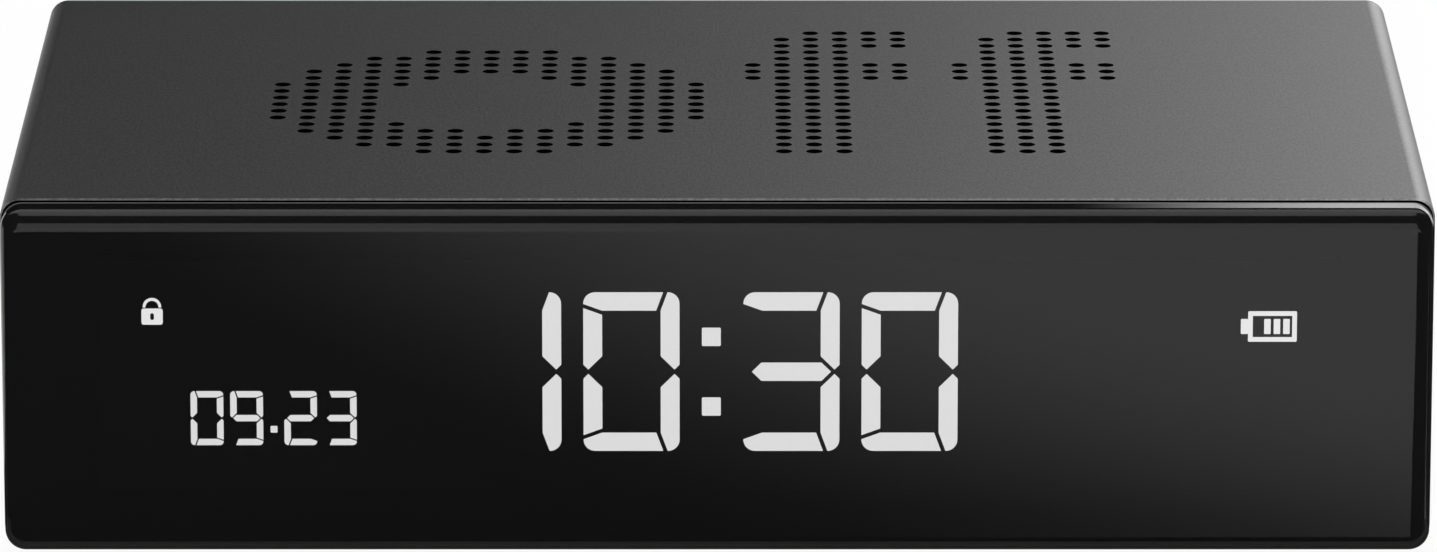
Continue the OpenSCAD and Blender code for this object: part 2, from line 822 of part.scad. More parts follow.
module speaker_basket() {
    bottom = -basket_depth;
    color("gray")
        translate([speaker_x, speaker_y, z_flange])
            union() {
                difference() {
                    rotate_extrude()
                        polygon([
                            [cone_neck_d / 2, bottom],
                            [basket_floor_d / 2, bottom],
                            [basket_d / 2, 0],
                            [speaker_d / 2, 0],
                            [speaker_d / 2, flange_t],
                            [basket_d / 2 - basket_wall, flange_t],
                            [basket_d / 2 - basket_wall, flange_t - 2 * cone_t - screw_clear],
                            [basket_floor_d / 2 - basket_wall, bottom + basket_wall],
                            [cone_neck_d / 2, bottom + basket_wall]
                        ]);
                    for (i = [0 : basket_windows - 1])
                        rotate([0, 0, (i + 0.5) * 360 / basket_windows])
                            translate([0, 0, bottom / 2])
                                rotate([0, 90, 0])
                                    cylinder(d = basket_depth * window_share, h = speaker_d);
                }
                difference() {
                    translate([-terminal_w / 2 + screw_clear, 0, -terminal_h + screw_clear])
                        cube([terminal_w - 2 * screw_clear, basket_d / 2, terminal_h - screw_clear]);
                    translate([0, 0, bottom])
                        cylinder(d = basket_d - 2 * basket_wall, h = 2 * basket_depth);
                }
            }
}

// Paper cone with a rolled surround and a domed cap.
module speaker_cone() {
    rim = basket_d / 2 - basket_wall - screw_clear;
    neck = cone_neck_d / 2;
    drop = basket_depth - cone_rise;
    color("black")
        translate([speaker_x, speaker_y, z_flange + flange_t])
            rotate_extrude()
                polygon([
                    [0, -drop + cap_h],
                    for (a = [75 : -15 : 0]) [neck * cos(a), -drop + cap_h * sin(a)],
                    [rim - surround_w, -cone_t],
                    [rim, -cone_t],
                    [rim, -2 * cone_t],
                    [rim - surround_w, -2 * cone_t],
                    [neck, -drop - cone_t],
                    [0, -drop - cone_t]
                ]);
}

module speaker_magnet() {
    color("silver")
        translate([speaker_x, speaker_y, z_flange - basket_depth - magnet_h])
            difference() {
                cylinder(d = magnet_d, h = magnet_h);
                translate([0, 0, magnet_h / 3])
                    difference() {
                        cylinder(d = cone_neck_d, h = magnet_h);
                        translate([0, 0, -1])
                            cylinder(d = cone_neck_d - 2 * coil_gap, h = magnet_h + 2);
                    }
            }
}

module speaker_lead() {
    z = z_flange - terminal_h / 2;
    y_pad = y_board_front + wire_d;
    color("firebrick")
        for (side = [-1, 1])
            wire([[y_terminal, z], [y_pad, z], [y_pad, z_board_top]], speaker_x + side * wire_pitch / 2);
}

module battery_cell() {
    color("steelblue")
        translate([battery_mid, battery_y + battery_len / 2, z_battery])
            linear_extrude(battery_t)
                rounded_rect(battery_w, battery_len, battery_r);
}

module battery_tape() {
    color("gold")
        translate([battery_mid, battery_y + battery_len / 2, z_deck])
            linear_extrude(battery_tape_t)
                rounded_rect(battery_w - 2 * battery_r, battery_len - 2 * battery_r, battery_r);
}

// The leads leave the cell above the ribs and rise to the plug on the board.
module battery_lead() {
    z_out = max(z_battery + battery_t - wire_d, z_deck + rib_h + wire_d);
    y_rise = (y_battery_back + y_board_front) / 2 + battery_clear;
    color("firebrick")
        for (side = [-1, 1])
            wire([
                [y_battery_back, z_out],
                [y_rise, z_out],
                [y_rise, z_board_top + plug_size[2] / 2],
                [y_board_front + screw_clear, z_board_top + plug_size[2] / 2]
            ], battery_lead_x + side * wire_pitch / 2);
}

module battery_plug() {
    color("ivory")
        translate([battery_lead_x - plug_size[0] / 2, y_board_front + screw_clear, z_board_top])
            cube(plug_size);
}

module main_board() {
    color("darkgreen")
        difference() {
            translate([0, y_board_mid, z_board])
                linear_extrude(board_t)
                    rounded_rect(board_w, board_len, window_r);
            for (x = [-post_x, post_x], y = post_y)
                translate([x, y, z_board - 1])
                    cylinder(d = screw_bore, h = board_t + 2);
        }
}

module board_screws() {
    color("silver")
        for (x = [-post_x, post_x], y = post_y)
            translate([x, y, z_board_top])
                rotate([180, 0, 0])
                    screw(screw_d, screw_head_d, screw_head_h, board_screw_len - screw_clear);
}

// Flat chip with a row of leads on each side.
module controller_chip() {
    lead = [chip_pitch, chip_pitch * lead_share, chip_t / 2];
    chip_pos = [chip_x, y_board_mid - chip_setback, z_board_top];
    color("black")
        translate(chip_pos) {
            translate([-chip_w / 2, -chip_w / 2, 0])
                cube([chip_w, chip_w, chip_t]);
            for (a = [0 : 90 : 270], i = [-side_leads : side_leads])
                rotate([0, 0, a])
                    translate([chip_w / 2 - EPS, i * chip_pitch - lead[1] / 2, 0])
                        cube(lead);
        }
}

module quartz_crystal() {
    color("silver")
        translate([crystal_margin - board_w / 2, y_board_mid, z_board_top]) {
            linear_extrude(crystal_rim)
                pill(crystal_w + 2 * crystal_rim, crystal_len + 2 * crystal_rim);
            linear_extrude(crystal_h)
                pill(crystal_w, crystal_len);
        }
}

module display_socket() {
    color("ivory")
        difference() {
            translate([ribbon_x - ribbon_w / 2 - socket_wall, y_display_back, z_ribbon - socket_h / 2])
                cube([ribbon_w + 2 * socket_wall, display_socket_len, socket_h]);
            translate([ribbon_x - ribbon_w / 2, y_display_back + socket_wall, z_ribbon - ribbon_t / 2])
                cube([ribbon_w, display_socket_len, ribbon_t]);
        }
}

module main_socket() {
    color("ivory")
        difference() {
            translate([ribbon_x - ribbon_w / 2 - socket_wall, y_main_socket, z_board_top])
                cube([ribbon_w + 2 * socket_wall, main_socket_len, socket_h]);
            translate([ribbon_x - ribbon_w / 2, y_main_socket - socket_wall, z_ribbon - ribbon_t / 2])
                cube([ribbon_w, main_socket_len, ribbon_t]);
        }
}

// Flat cable that sags a little between its two sockets.
module ribbon_cable() {
    y0 = y_display_back + display_socket_len;
    y1 = y_main_socket;
    sag = [for (i = [0 : ribbon_steps])
        let (t = i / ribbon_steps)
        [y0 + t * (y1 - y0), z_ribbon - ribbon_sag * pow(sin(180 * t), 2)]];
    lower = concat(
        [[y_display_back + socket_wall, z_ribbon]],
        sag,
        [[y1 + main_socket_len - socket_wall, z_ribbon]]
    );
    upper = [for (i = [len(lower) - 1 : -1 : 0]) lower[i] + [0, ribbon_t]];
    color("lightgray")
        translate([ribbon_x - ribbon_w / 2, 0, -ribbon_t / 2])
            rotate([90, 0, 90])
                linear_extrude(ribbon_w)
                    polygon(concat(lower, upper));
}

module usb_shell() {
    color("silver")
        difference() {
            upright(y_usb, y_cover_out, usb_x)
                pill(usb_w, usb_h);
            upright(y_usb - 1, y_cover_out + 1, usb_x)
                pill(usb_w - 2 * usb_wall, usb_h - 2 * usb_wall);
        }
}

module usb_tongue() {
    color("black") {
        upright(y_usb, y_usb + usb_back_t, usb_x)
            pill(usb_w - 2 * usb_wall, usb_h - 2 * usb_wall);
        upright(y_usb + usb_back_t - EPS, y_usb + usb_back_t + tongue_len, usb_x)
            square([tongue_w, tongue_t], center = true);
    }
}

// Housings of the four push switches, each with a bore for its plunger.
module tact_bodies() {
    color("dimgray")
        for (x = key_pos)
            difference() {
                translate([x - tact_w / 2, y_tact_back - tact_len, z_board_top])
                    cube([tact_w, tact_len, usb_h]);
                bar_y(y_tact_back - plunger_in - plunger_room, y_tact_back + 1,
                    plunger_d + key_clear, x, z_mid);
            }
}

module plunger(i) {
    color("saddlebrown")
        bar_y(y_tact_back - plunger_in, y_key_lip, plunger_d, key_pos[i], z_mid);
}

module set_plunger() {
    plunger(0);
}

module alarm_plunger() {
    plunger(1);
}

module minus_plunger() {
    plunger(2);
}

module plus_plunger() {
    plunger(3);
}

// Key with a retaining lip behind the cover and a dished face.
module key(i) {
    dish_r = 30;
    y_face = y_cover_out + key_proud;
    color("black")
        difference() {
            union() {
                upright(y_key_lip, y_key_lip + key_lip_t, key_pos[i])
                    pill(key_w + 2 * key_lip, key_h + 2 * key_lip);
                upright(y_key_lip, y_face, key_pos[i])
                    pill(key_w, key_h);
            }
            translate([key_pos[i], y_face - key_dish + dish_r, z_mid - key_h])
                cylinder(r = dish_r, h = 2 * key_h);
        }
}

module set_key() {
    key(0);
}

module alarm_key() {
    key(1);
}

module minus_key() {
    key(2);
}

module plus_key() {
    key(3);
}

// Housing of the slide switch, with the slot that its stem runs in.
module slide_switch_body() {
    color("silver")
        difference() {
            translate([lock_x - slide_body_w / 2, y_tact_back - tact_len, z_board_top])
                cube([slide_body_w, tact_len, usb_h]);
            upright(y_tact_back - plunger_in - plunger_room, y_tact_back + 1, lock_x)
                square([
                    slide_stem_w + lock_travel + 2 * key_clear,
                    slide_stem_h + 2 * key_clear
                ], center = true);
        }
}

// Sliding knob at the left end of its travel, with its light shield and stem.
module lock_slider() {
    x = lock_x - lock_travel / 2;
    y_shield = y_cover_in - stop_gap - shield_t;
    y_face = y_cover_out + key_proud;
    groove_d = 0.5;
    color("black")
        difference() {
            union() {
                upright(y_tact_back - plunger_in, y_shield + EPS, x)
                    square([slide_stem_w, slide_stem_h], center = true);
                upright(y_shield, y_shield + shield_t, x)
                    square([shield_w, shield_h], center = true);
                upright(y_shield, y_face, x)
                    square([knob_w, knob_h], center = true);
            }
            for (i = [0 : knob_grooves - 1])
                translate([x + (i - (knob_grooves - 1) / 2) * knob_w / knob_grooves, y_face, z_mid - knob_h])
                    cylinder(d = groove_d, h = 2 * knob_h);
        }
}

module tilt_base() {
    color("black")
        translate([tilt_pos[0], tilt_pos[1], z_board_top])
            cylinder(d = tilt_can_d, h = tilt_base_t);
}

module tilt_can() {
    color("silver")
        translate([tilt_pos[0], tilt_pos[1], z_tilt_base])
            difference() {
                cylinder(d = tilt_can_d, h = tilt_can_h);
                translate([0, 0, -1])
                    cylinder(d = tilt_bore, h = tilt_can_h - tilt_wall + 1);
            }
}

module tilt_ball() {
    color("gold")
        translate([tilt_pos[0], tilt_pos[1], z_tilt_base + tilt_ball_d / 2])
            sphere(d = tilt_ball_d);
}

module rear_cover() {
    color("black")
        difference() {
            upright(y_cover_in, y_cover_out)
                rounded_rect(flange_w, flange_h, rebate_r - plug_clear);
            for (x = key_pos)
                upright(y_cover_in - 1, y_cover_out + 1, x)
                    pill(key_w + 2 * key_clear, key_h + 2 * key_clear);
            upright(y_cover_in - 1, y_cover_out + 1, lock_x)
                square([lock_slot_w + 2 * key_clear, knob_h + 2 * key_clear], center = true);
            upright(y_cover_in - 1, y_cover_out + 1, usb_x)
                pill(usb_w + 2 * key_clear, usb_h + 2 * key_clear);
            for (x = [-rail_x, rail_x], z = [-rail_z, rail_z]) {
                bar_y(y_cover_in - 1, y_cover_out + 1, screw_bore, x, z_mid + z);
                bar_y(y_cover_out - screw_head_sink, y_cover_out + 1, head_bore, x, z_mid + z);
            }
        }
}

module rear_screws() {
    color("black")
        for (x = [-rail_x, rail_x], z = [-rail_z, rail_z])
            translate([x, y_cover_out - screw_head_sink, z_mid + z])
                rotate([90, 0, 0])
                    screw(screw_d, screw_head_d, screw_head_h, screw_len);
}

sleeve();
top_mesh();
bottom_mesh();
front_lens();
lens_tape();
front_frame();
lcd_front_glass();
lcd_rear_glass();
light_guide();
backlight_leds();
zebra_strip();
display_board();
display_screws();
frame_screws();
chassis();
speaker_gasket();
speaker_basket();
speaker_cone();
speaker_magnet();
speaker_lead();
battery_cell();
battery_tape();
battery_lead();
battery_plug();
main_board();
board_screws();
controller_chip();
quartz_crystal();
display_socket();
main_socket();
ribbon_cable();
usb_shell();
usb_tongue();
tact_bodies();
set_key();
alarm_key();
minus_key();
plus_key();
set_plunger();
alarm_plunger();
minus_plunger();
plus_plunger();
slide_switch_body();
lock_slider();
tilt_base();
tilt_can();
tilt_ball();
rear_cover();
rear_screws();
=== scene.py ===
"""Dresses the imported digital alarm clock: refined casing, lit signs, finishes, floor, light and camera."""

import json
import math

import bmesh
import bpy
from bpy.props import FloatProperty, FloatVectorProperty, IntProperty, PointerProperty, StringProperty
from bpy.types import Operator, Panel, PropertyGroup
from mathutils import Matrix, Vector


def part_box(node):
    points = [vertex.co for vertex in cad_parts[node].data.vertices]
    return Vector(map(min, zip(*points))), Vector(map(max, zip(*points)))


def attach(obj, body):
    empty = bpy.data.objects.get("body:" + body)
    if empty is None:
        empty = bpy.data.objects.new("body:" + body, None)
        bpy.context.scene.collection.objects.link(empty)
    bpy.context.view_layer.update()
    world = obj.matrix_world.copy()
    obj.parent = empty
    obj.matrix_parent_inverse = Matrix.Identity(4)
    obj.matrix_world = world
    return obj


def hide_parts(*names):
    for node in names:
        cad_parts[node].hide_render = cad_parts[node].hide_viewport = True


bl_info = {
    "name": "Digital alarm clock",
    "version": (1, 0, 0),
    "blender": (4, 5, 0),
    "location": "View3D > Sidebar > Alarm clock",
    "description": "Models the visible pieces of a digital alarm clock around its packed solids",
    "category": "Object",
}

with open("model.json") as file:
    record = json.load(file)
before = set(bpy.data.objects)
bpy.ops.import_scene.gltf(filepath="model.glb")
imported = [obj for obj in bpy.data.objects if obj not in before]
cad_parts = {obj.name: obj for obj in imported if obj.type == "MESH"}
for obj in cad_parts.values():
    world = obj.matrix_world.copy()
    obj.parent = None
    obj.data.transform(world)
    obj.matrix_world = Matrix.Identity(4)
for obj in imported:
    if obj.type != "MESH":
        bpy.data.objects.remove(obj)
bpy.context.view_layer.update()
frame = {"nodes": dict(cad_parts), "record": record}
MM = 0.001
NEAR = 0.001 * MM
MERGE = 0.0005 * MM

LENS_LOW, LENS_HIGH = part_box("front_lens")
SLEEVE_LOW, SLEEVE_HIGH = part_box("sleeve")
GLASS_LOW, GLASS_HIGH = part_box("lcd_front_glass")
COVER_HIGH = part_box("rear_cover")[1]
TONGUE_LOW, TONGUE_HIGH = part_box("usb_tongue")
WHITE = (1, 1, 1, 1)
KEYS = ("set", "alarm", "minus", "plus")
LIT_SEGMENTS = dict(
    zip("0123456789", "abcdef bc abged abgcd fgbc afgcd afgedc abc abcdefg abcdfg".split())
)
MIRROR_SEGMENTS = {"b": "f", "f": "b", "c": "e", "e": "c"}


def length(name, description, millimetres):
    """A size in metres with its default given in millimetres."""
    return FloatProperty(
        name=name, description=description, default=millimetres * MM, unit="LENGTH", precision=5
    )


def amount(name, description, default):
    """A plain number with its default."""
    return FloatProperty(name=name, description=description, default=default)


def paint(name, description, colour):
    """A colour with its default."""
    return FloatVectorProperty(
        name=name, description=description, default=colour, size=3, subtype="COLOR", min=0, max=1
    )


class ClockLens(PropertyGroup):
    """Sizes of the front lens."""

    corner: length("Corner", "Radius of the lens's four corners, seen from the front", 1.75)
    front_edge: length("Front edge", "Radius of the edge round the face", 1.5)
    back_edge: length("Back edge", "Radius of the edge next to the sleeve", 0.1)
    ground_band: length("Ground band", "Width of the ground band along the rear edge", 0.35)
    tape_room: length("Tape room", "Room between the print and the bonding tape behind it", 0.02)
    pocket_clear: length("Pocket clearance", "Gap between display glass and pocket wall", 0.2)
    pocket_corner: length("Pocket corner", "Radius of the pocket's corners", 0.5)
    display_gap: length("Display gap", "Gap between pocket floor and display glass", 0.1)
    window_border: length("Window border", "Width of the print along the edge of the pocket floor", 0.45)


class ClockSigns(PropertyGroup):
    """Sizes of the lit signs, seen from the front."""

    thickness: length("Thickness", "Thickness of a lit sign", 0.06)
    glass_room: length("Glass room", "Gap between the lit signs and the display glass", 0.02)
    digit_light: amount("Digit light", "Light of the digits", 2.7)
    sign_light: amount("Sign light", "Light of the padlock and battery signs", 2.97)
    time: StringProperty(name="Time", description="Digits of the time", default="1030")
    date: StringProperty(name="Date", description="Digits of the date", default="0923")
    time_left: length("Time left", "Left edge of the first large digit", -21.11)
    time_top: length("Time top", "Height of the large digits' upper edge", 22.41)
    digit_height: length("Digit height", "Height of a large digit", 13.76)
    digit_width: length("Digit width", "Width of a large digit", 8.05)
    digit_pitch: length("Digit pitch", "Step from one large digit to the next", 9.9)
    colon_room: length("Colon room", "Extra step for the colon", 3.49)
    colon_side: length("Colon side", "Width of a colon square", 1.58)
    colon_middle: length("Colon middle", "Middle of the colon, from the clock's middle", -0.5)
    colon_step: length("Colon step", "Step from the upper to the lower square", 6.05)
    stroke: length("Stroke", "Width of a large digit's bars", 1.58)
    gap: length("Gap", "Dark gap between two bars", 0.35)
    corner: length("Corner", "Outer rounding of a large digit", 1.0)
    tip: length("Tip", "Distance of a bar's tip from the digit's side", 0.42)
    tip_gap: length("Tip gap", "Dark gap between upper and lower tips", 0.39)
    date_left: length("Date left", "Left edge of the first small digit", -44.13)
    date_top: length("Date top", "Height of the small digits' upper edge", 13.84)
    date_height: length("Date height", "Height of a small digit", 4.69)
    date_pitch: length("Date pitch", "Step from one small digit to the next", 3.325)
    dot_room: length("Dot room", "Extra step for the date's dot", 1.19)
    dot_side: length("Dot side", "Width of the date's dot", 0.57)
    dot_shift: amount("Dot shift", "From the dot's left edge to the next digit, in dot widths", 2.02)
    dot_drop: amount("Dot drop", "Top of the date's dot, in digit heights", 0.646)
    lock_middle: length("Padlock middle", "Middle of the padlock sign", -47.25)
    lock_top: length("Padlock top", "Height of the padlock's upper edge", 21.92)
    lock_width: length("Padlock width", "Width of the padlock's body", 1.78)
    cell_left: length("Battery left", "Left edge of the battery sign's frame", 44.38)
    cell_top: length("Battery top", "Height of the battery sign's upper edge", 20.77)
    cell_width: length("Battery width", "Width of the battery sign's frame", 4.08)


class ClockRear(PropertyGroup):
    """Sizes of the details on the rear."""

    cover_edge: length("Cover edge", "Rounding of the rear cover's edges", 0.12)
    key_edge: length("Key edge", "Rounding of the keys' rims", 0.2)
    knob_edge: length("Knob edge", "Rounding of the lock knob", 0.12)
    screw_edge: length("Screw edge", "Rounding of the screw heads", 0.06)
    shell_edge: length("Socket edge", "Rounding of the socket's mouth", 0.05)
    mark_depth: length("Mark depth", "Thickness of a printed mark", 0.05)
    mark_height: length("Mark height", "Height of the marks on the keys", 1.7)
    mark_stroke: length("Mark stroke", "Line width of the marks", 0.26)
    mark_sink: amount("Mark sink", "Share of a mark's thickness that lies in its surface", 0.6)
    lock_mark_middle: length("Padlock mark middle", "Middle of the padlock mark", 26.4)
    lock_mark_width: length("Padlock mark width", "Width of the padlock mark", 1.5)
    charge_mark_gap: length("Battery mark gap", "From the socket to the battery mark", 2.2)
    charge_mark_rise: length("Battery mark rise", "Top of the battery mark above the middle", 0.95)
    charge_mark_width: length("Battery mark width", "Width of the battery mark", 2.9)
    key_dish: length("Key dish", "Depth of the hollow in a key", 0.25)
    contact_count: IntProperty(
        name="Contacts", description="Contacts on each side of the tongue", default=12
    )
    contact_pitch: length("Contact pitch", "Step from one contact to the next", 0.5)
    contact_width: length("Contact width", "Width of a contact", 0.26)
    contact_reach: length("Contact reach", "Length of a contact", 3.2)
    contact_depth: length("Contact depth", "Thickness of a contact", 0.03)
    contact_set_back: length("Contact set-back", "From the tongue's end to the contacts", 0.5)


class ClockColours(PropertyGroup):
    """Colours of the visible finishes."""

    sleeve: paint("Sleeve", "Anodised aluminium", (0.16, 0.16, 0.163))
    # Painted shade: black for the bores of the sound holes and the sleeve's end in the shadow gap.
    blackened: paint("Blackened metal", "Coating in the sound holes and the shadow gap", (0.0015,) * 3)
    lens: paint("Lens", "Smoked lens", (0.011, 0.011, 0.0112))
    lens_back: paint("Lens print", "Black print behind the lens", (0.006, 0.006, 0.006))
    # The lighter grey of the ground rear edge is partly the ground face's own colour and partly a painted
    # highlight along the lens's rear edge.
    ground_edge: paint("Ground edge", "Ground rear edge of the lens", (0.11, 0.11, 0.11))
    sign: paint("Signs", "Light of the display signs", (1.0, 1.0, 1.0))
    ink: paint("Ink", "Marks printed on the rear", (0.55, 0.55, 0.55))
    gold: paint("Contacts", "Plating of the socket's contacts", (0.9, 0.62, 0.25))
    floor: paint("Floor", "Floor round the clock", (0.85, 0.85, 0.85))


class ClockStage(PropertyGroup):
    """Camera and light."""

    camera_place: FloatVectorProperty(
        name="Camera place",
        description="Where the camera stands",
        default=(0.0001, -0.9033, 0.2554),
        unit="LENGTH",
    )
    camera_fall: FloatProperty(
        name="Camera fall",
        description="Angle of view below the horizon",
        default=math.radians(14.944),
        subtype="ANGLE",
    )
    camera_lens: amount("Focal length", "Focal length in millimetres", 269.4)
    sky_light: amount("Sky", "Light from all round", 0.66)
    lamp_power: amount("Lamp", "Power of the lamp overhead in watts", 4.4)
    lamp_size: FloatProperty(
        name="Lamp size", description="Side of the square lamp", default=0.9, unit="LENGTH"
    )
    lamp_place: FloatVectorProperty(
        name="Lamp place", description="Where the lamp hangs", default=(0.1, 0.05, 1.0), unit="LENGTH"
    )
    soft_light: amount("Soft card", "Light of the soft card behind, in its middle", 0.18)
    soft_growth: amount("Soft growth", "How fast the soft card brightens, per metre", 15.3)
    overhead_light: amount("Overhead card", "Light of the card overhead, in its middle", 0.49)
    overhead_growth: amount("Overhead growth", "How fast the card overhead brightens, per metre", 7.3)
    card_light: amount("Bright card", "Light of the card behind, at its right", 2.4)


def clear_selection():
    """Leaves edit mode and deselects everything."""
    if bpy.context.object and bpy.context.object.mode != "OBJECT":
        bpy.ops.object.mode_set(mode="OBJECT")
    bpy.ops.object.select_all(action="DESELECT")


def take(*pieces):
    """Selects these pieces alone, the first of them active."""
    clear_selection()
    for piece in pieces:
        piece.select_set(True)
    bpy.context.view_layer.objects.active = pieces[0]
    return pieces[0]


def edit(piece):
    """Opens a piece in edit mode."""
    take(piece)
    bpy.ops.object.mode_set(mode="EDIT")


def close(piece):
    """Leaves edit mode."""
    bpy.ops.object.mode_set(mode="OBJECT")
    return piece


def choose(piece, part, test):
    """Selects the edges or faces of the open piece that pass a test."""
    bpy.ops.mesh.select_mode(type="EDGE" if part == "edges" else "FACE")
    bpy.ops.mesh.select_all(action="DESELECT")
    mesh = bmesh.from_edit_mesh(piece.data)
    for item in getattr(mesh, part):
        if test(item):
            item.select_set(True)
    bmesh.update_edit_mesh(piece.data)


def along_depth(edge):
    """Says whether an edge runs from front to back."""
    run = edge.verts[1].co - edge.verts[0].co
    return abs(run.y) > 0.99 * run.length


def round_edges(piece, test, radius, segments):
    """Rounds the edges of a piece that pass a test."""
    edit(piece)
    choose(piece, "edges", test)
    bpy.ops.mesh.bevel(offset=radius, segments=segments, profile=0.5, affect="EDGES")
    return close(piece)


def block(name, low, high):
    """A box between two corners, as the start of a piece."""
    clear_selection()
    low, high = Vector(low), Vector(high)
    bpy.ops.mesh.primitive_cube_add(size=1, location=(low + high) / 2)
    piece = bpy.context.object
    piece.name = piece.data.name = name
    piece.scale = high - low
    bpy.ops.object.transform_apply(location=True, rotation=True, scale=True)
    return piece


def disc(name, middle, radius, depth, sides):
    """A round plate that faces front and back, as the start of a piece."""
    clear_selection()
    bpy.ops.mesh.primitive_cylinder_add(
        vertices=sides, radius=radius, depth=depth, location=middle, rotation=(math.pi / 2, 0, 0)
    )
    piece = bpy.context.object
    piece.name = piece.data.name = name
    bpy.ops.object.transform_apply(location=True, rotation=True, scale=True)
    return piece


def apply_modifier(piece, kind, **settings):
    """Adds a modifier to a piece and applies it."""
    take(piece)
    modifier = piece.modifiers.new(kind.title(), kind)
    for key, value in settings.items():
        setattr(modifier, key, value)
    bpy.ops.object.modifier_apply(modifier=modifier.name)
    return piece


def cut_out(piece, cutter):
    """Takes a cutter's shape out of a piece and removes the cutter."""
    apply_modifier(piece, "BOOLEAN", operation="DIFFERENCE", solver="EXACT", object=cutter)
    bpy.data.objects.remove(cutter)


def trim(piece, start, end):
    """Cuts a plate along a line in the X-Z plane and drops what lies to the line's right."""
    edit(piece)
    bpy.ops.mesh.select_all(action="SELECT")
    run = (Vector(end) - Vector(start)).normalized()
    bpy.ops.mesh.bisect(
        plane_co=(start[0], 0, start[1]),
        plane_no=(run.y, 0, -run.x),
        use_fill=True,
        clear_outer=True,
        threshold=1e-7,
    )
    close(piece)


def join(name, pieces):
    """Joins pieces into one with a new name."""
    piece = take(*pieces)
    if len(pieces) > 1:
        bpy.ops.object.join()
    piece.name = piece.data.name = name
    return piece


def tidy_normals(piece):
    """Merges doubled points and turns all faces outwards."""
    edit(piece)
    bpy.ops.mesh.select_all(action="SELECT")
    bpy.ops.mesh.remove_doubles(threshold=MERGE)
    bpy.ops.mesh.normals_make_consistent(inside=False)
    return close(piece)


def smooth(piece, degrees=35):
    """Shades a piece smooth, apart from edges sharper than an angle."""
    take(piece)
    bpy.ops.object.shade_smooth_by_angle(angle=math.radians(degrees))
    return apply_modifier(piece, "WEIGHTED_NORMAL", keep_sharp=True, weight=50)


def twin(piece, name, matrix):
    """A copy of a piece with its own mesh, moved by a matrix."""
    take(piece)
    bpy.ops.object.duplicate()
    copy = bpy.context.object
    copy.name = copy.data.name = name
    copy.matrix_world = matrix
    bpy.ops.object.transform_apply(location=True, rotation=True, scale=True)
    return copy


def node_copy(node, name):
    """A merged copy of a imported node's mesh, as the start of a finer piece."""
    piece = bpy.data.objects.new(name, frame["nodes"][node].data.copy())
    bpy.context.scene.collection.objects.link(piece)
    piece.data.name = name
    piece.data.materials.clear()
    take(piece)
    bpy.ops.mesh.customdata_custom_splitnormals_clear()
    edit(piece)
    bpy.ops.mesh.select_all(action="SELECT")
    bpy.ops.mesh.remove_doubles(threshold=MERGE)
    return close(piece)


def finer(node, name, radius):
    """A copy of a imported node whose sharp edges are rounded."""
    piece = node_copy(node, name)
    edit(piece)
    bpy.ops.mesh.select_all(action="SELECT")
    bpy.ops.mesh.dissolve_limited(angle_limit=math.radians(1))
    close(piece)
    apply_modifier(
        piece,
        "BEVEL",
        width=radius,
        segments=2,
        limit_method="ANGLE",
        angle_limit=math.radians(40),
        use_clamp_overlap=True,
        miter_outer="MITER_ARC",
    )
    return smooth(piece)


def dress(piece, *materials):
    """Gives a piece its materials, the first of them on every face."""
    for material in materials:
        piece.data.materials.append(material)


def settle(piece, body, slot, *nodes):
    """Says what a piece rides on and which nodes it stands for. The slot, the finish of the record that it
    takes, is not used.
    """
    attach(piece, body)
    if nodes:
        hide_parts(*nodes)


class Value:
    """A shader socket that can stand in a Python expression."""

    def __init__(self, finish, socket):
        self.finish = finish
        self.socket = socket

    def maths(self, operation, *others):
        """A Math node with this value as its first term."""
        return self.finish.maths(operation, self, *others)

    def __add__(self, other):
        return self.maths("ADD", other)

    def __sub__(self, other):
        return self.maths("SUBTRACT", other)

    def __rsub__(self, other):
        return self.finish.maths("SUBTRACT", other, self)

    def __mul__(self, other):
        return self.maths("MULTIPLY", other)

    def __lt__(self, other):
        return self.maths("LESS_THAN", other)

    def __abs__(self):
        return self.maths("ABSOLUTE")

    __radd__ = __add__
    __rmul__ = __mul__

    def largest(self, other):
        """The larger of two values."""
        return self.maths("MAXIMUM", other)

    def repeat(self, step):
        """The value's place within a repeating step, from 0 to 1."""
        return self.maths("DIVIDE", step).maths("FRACT")


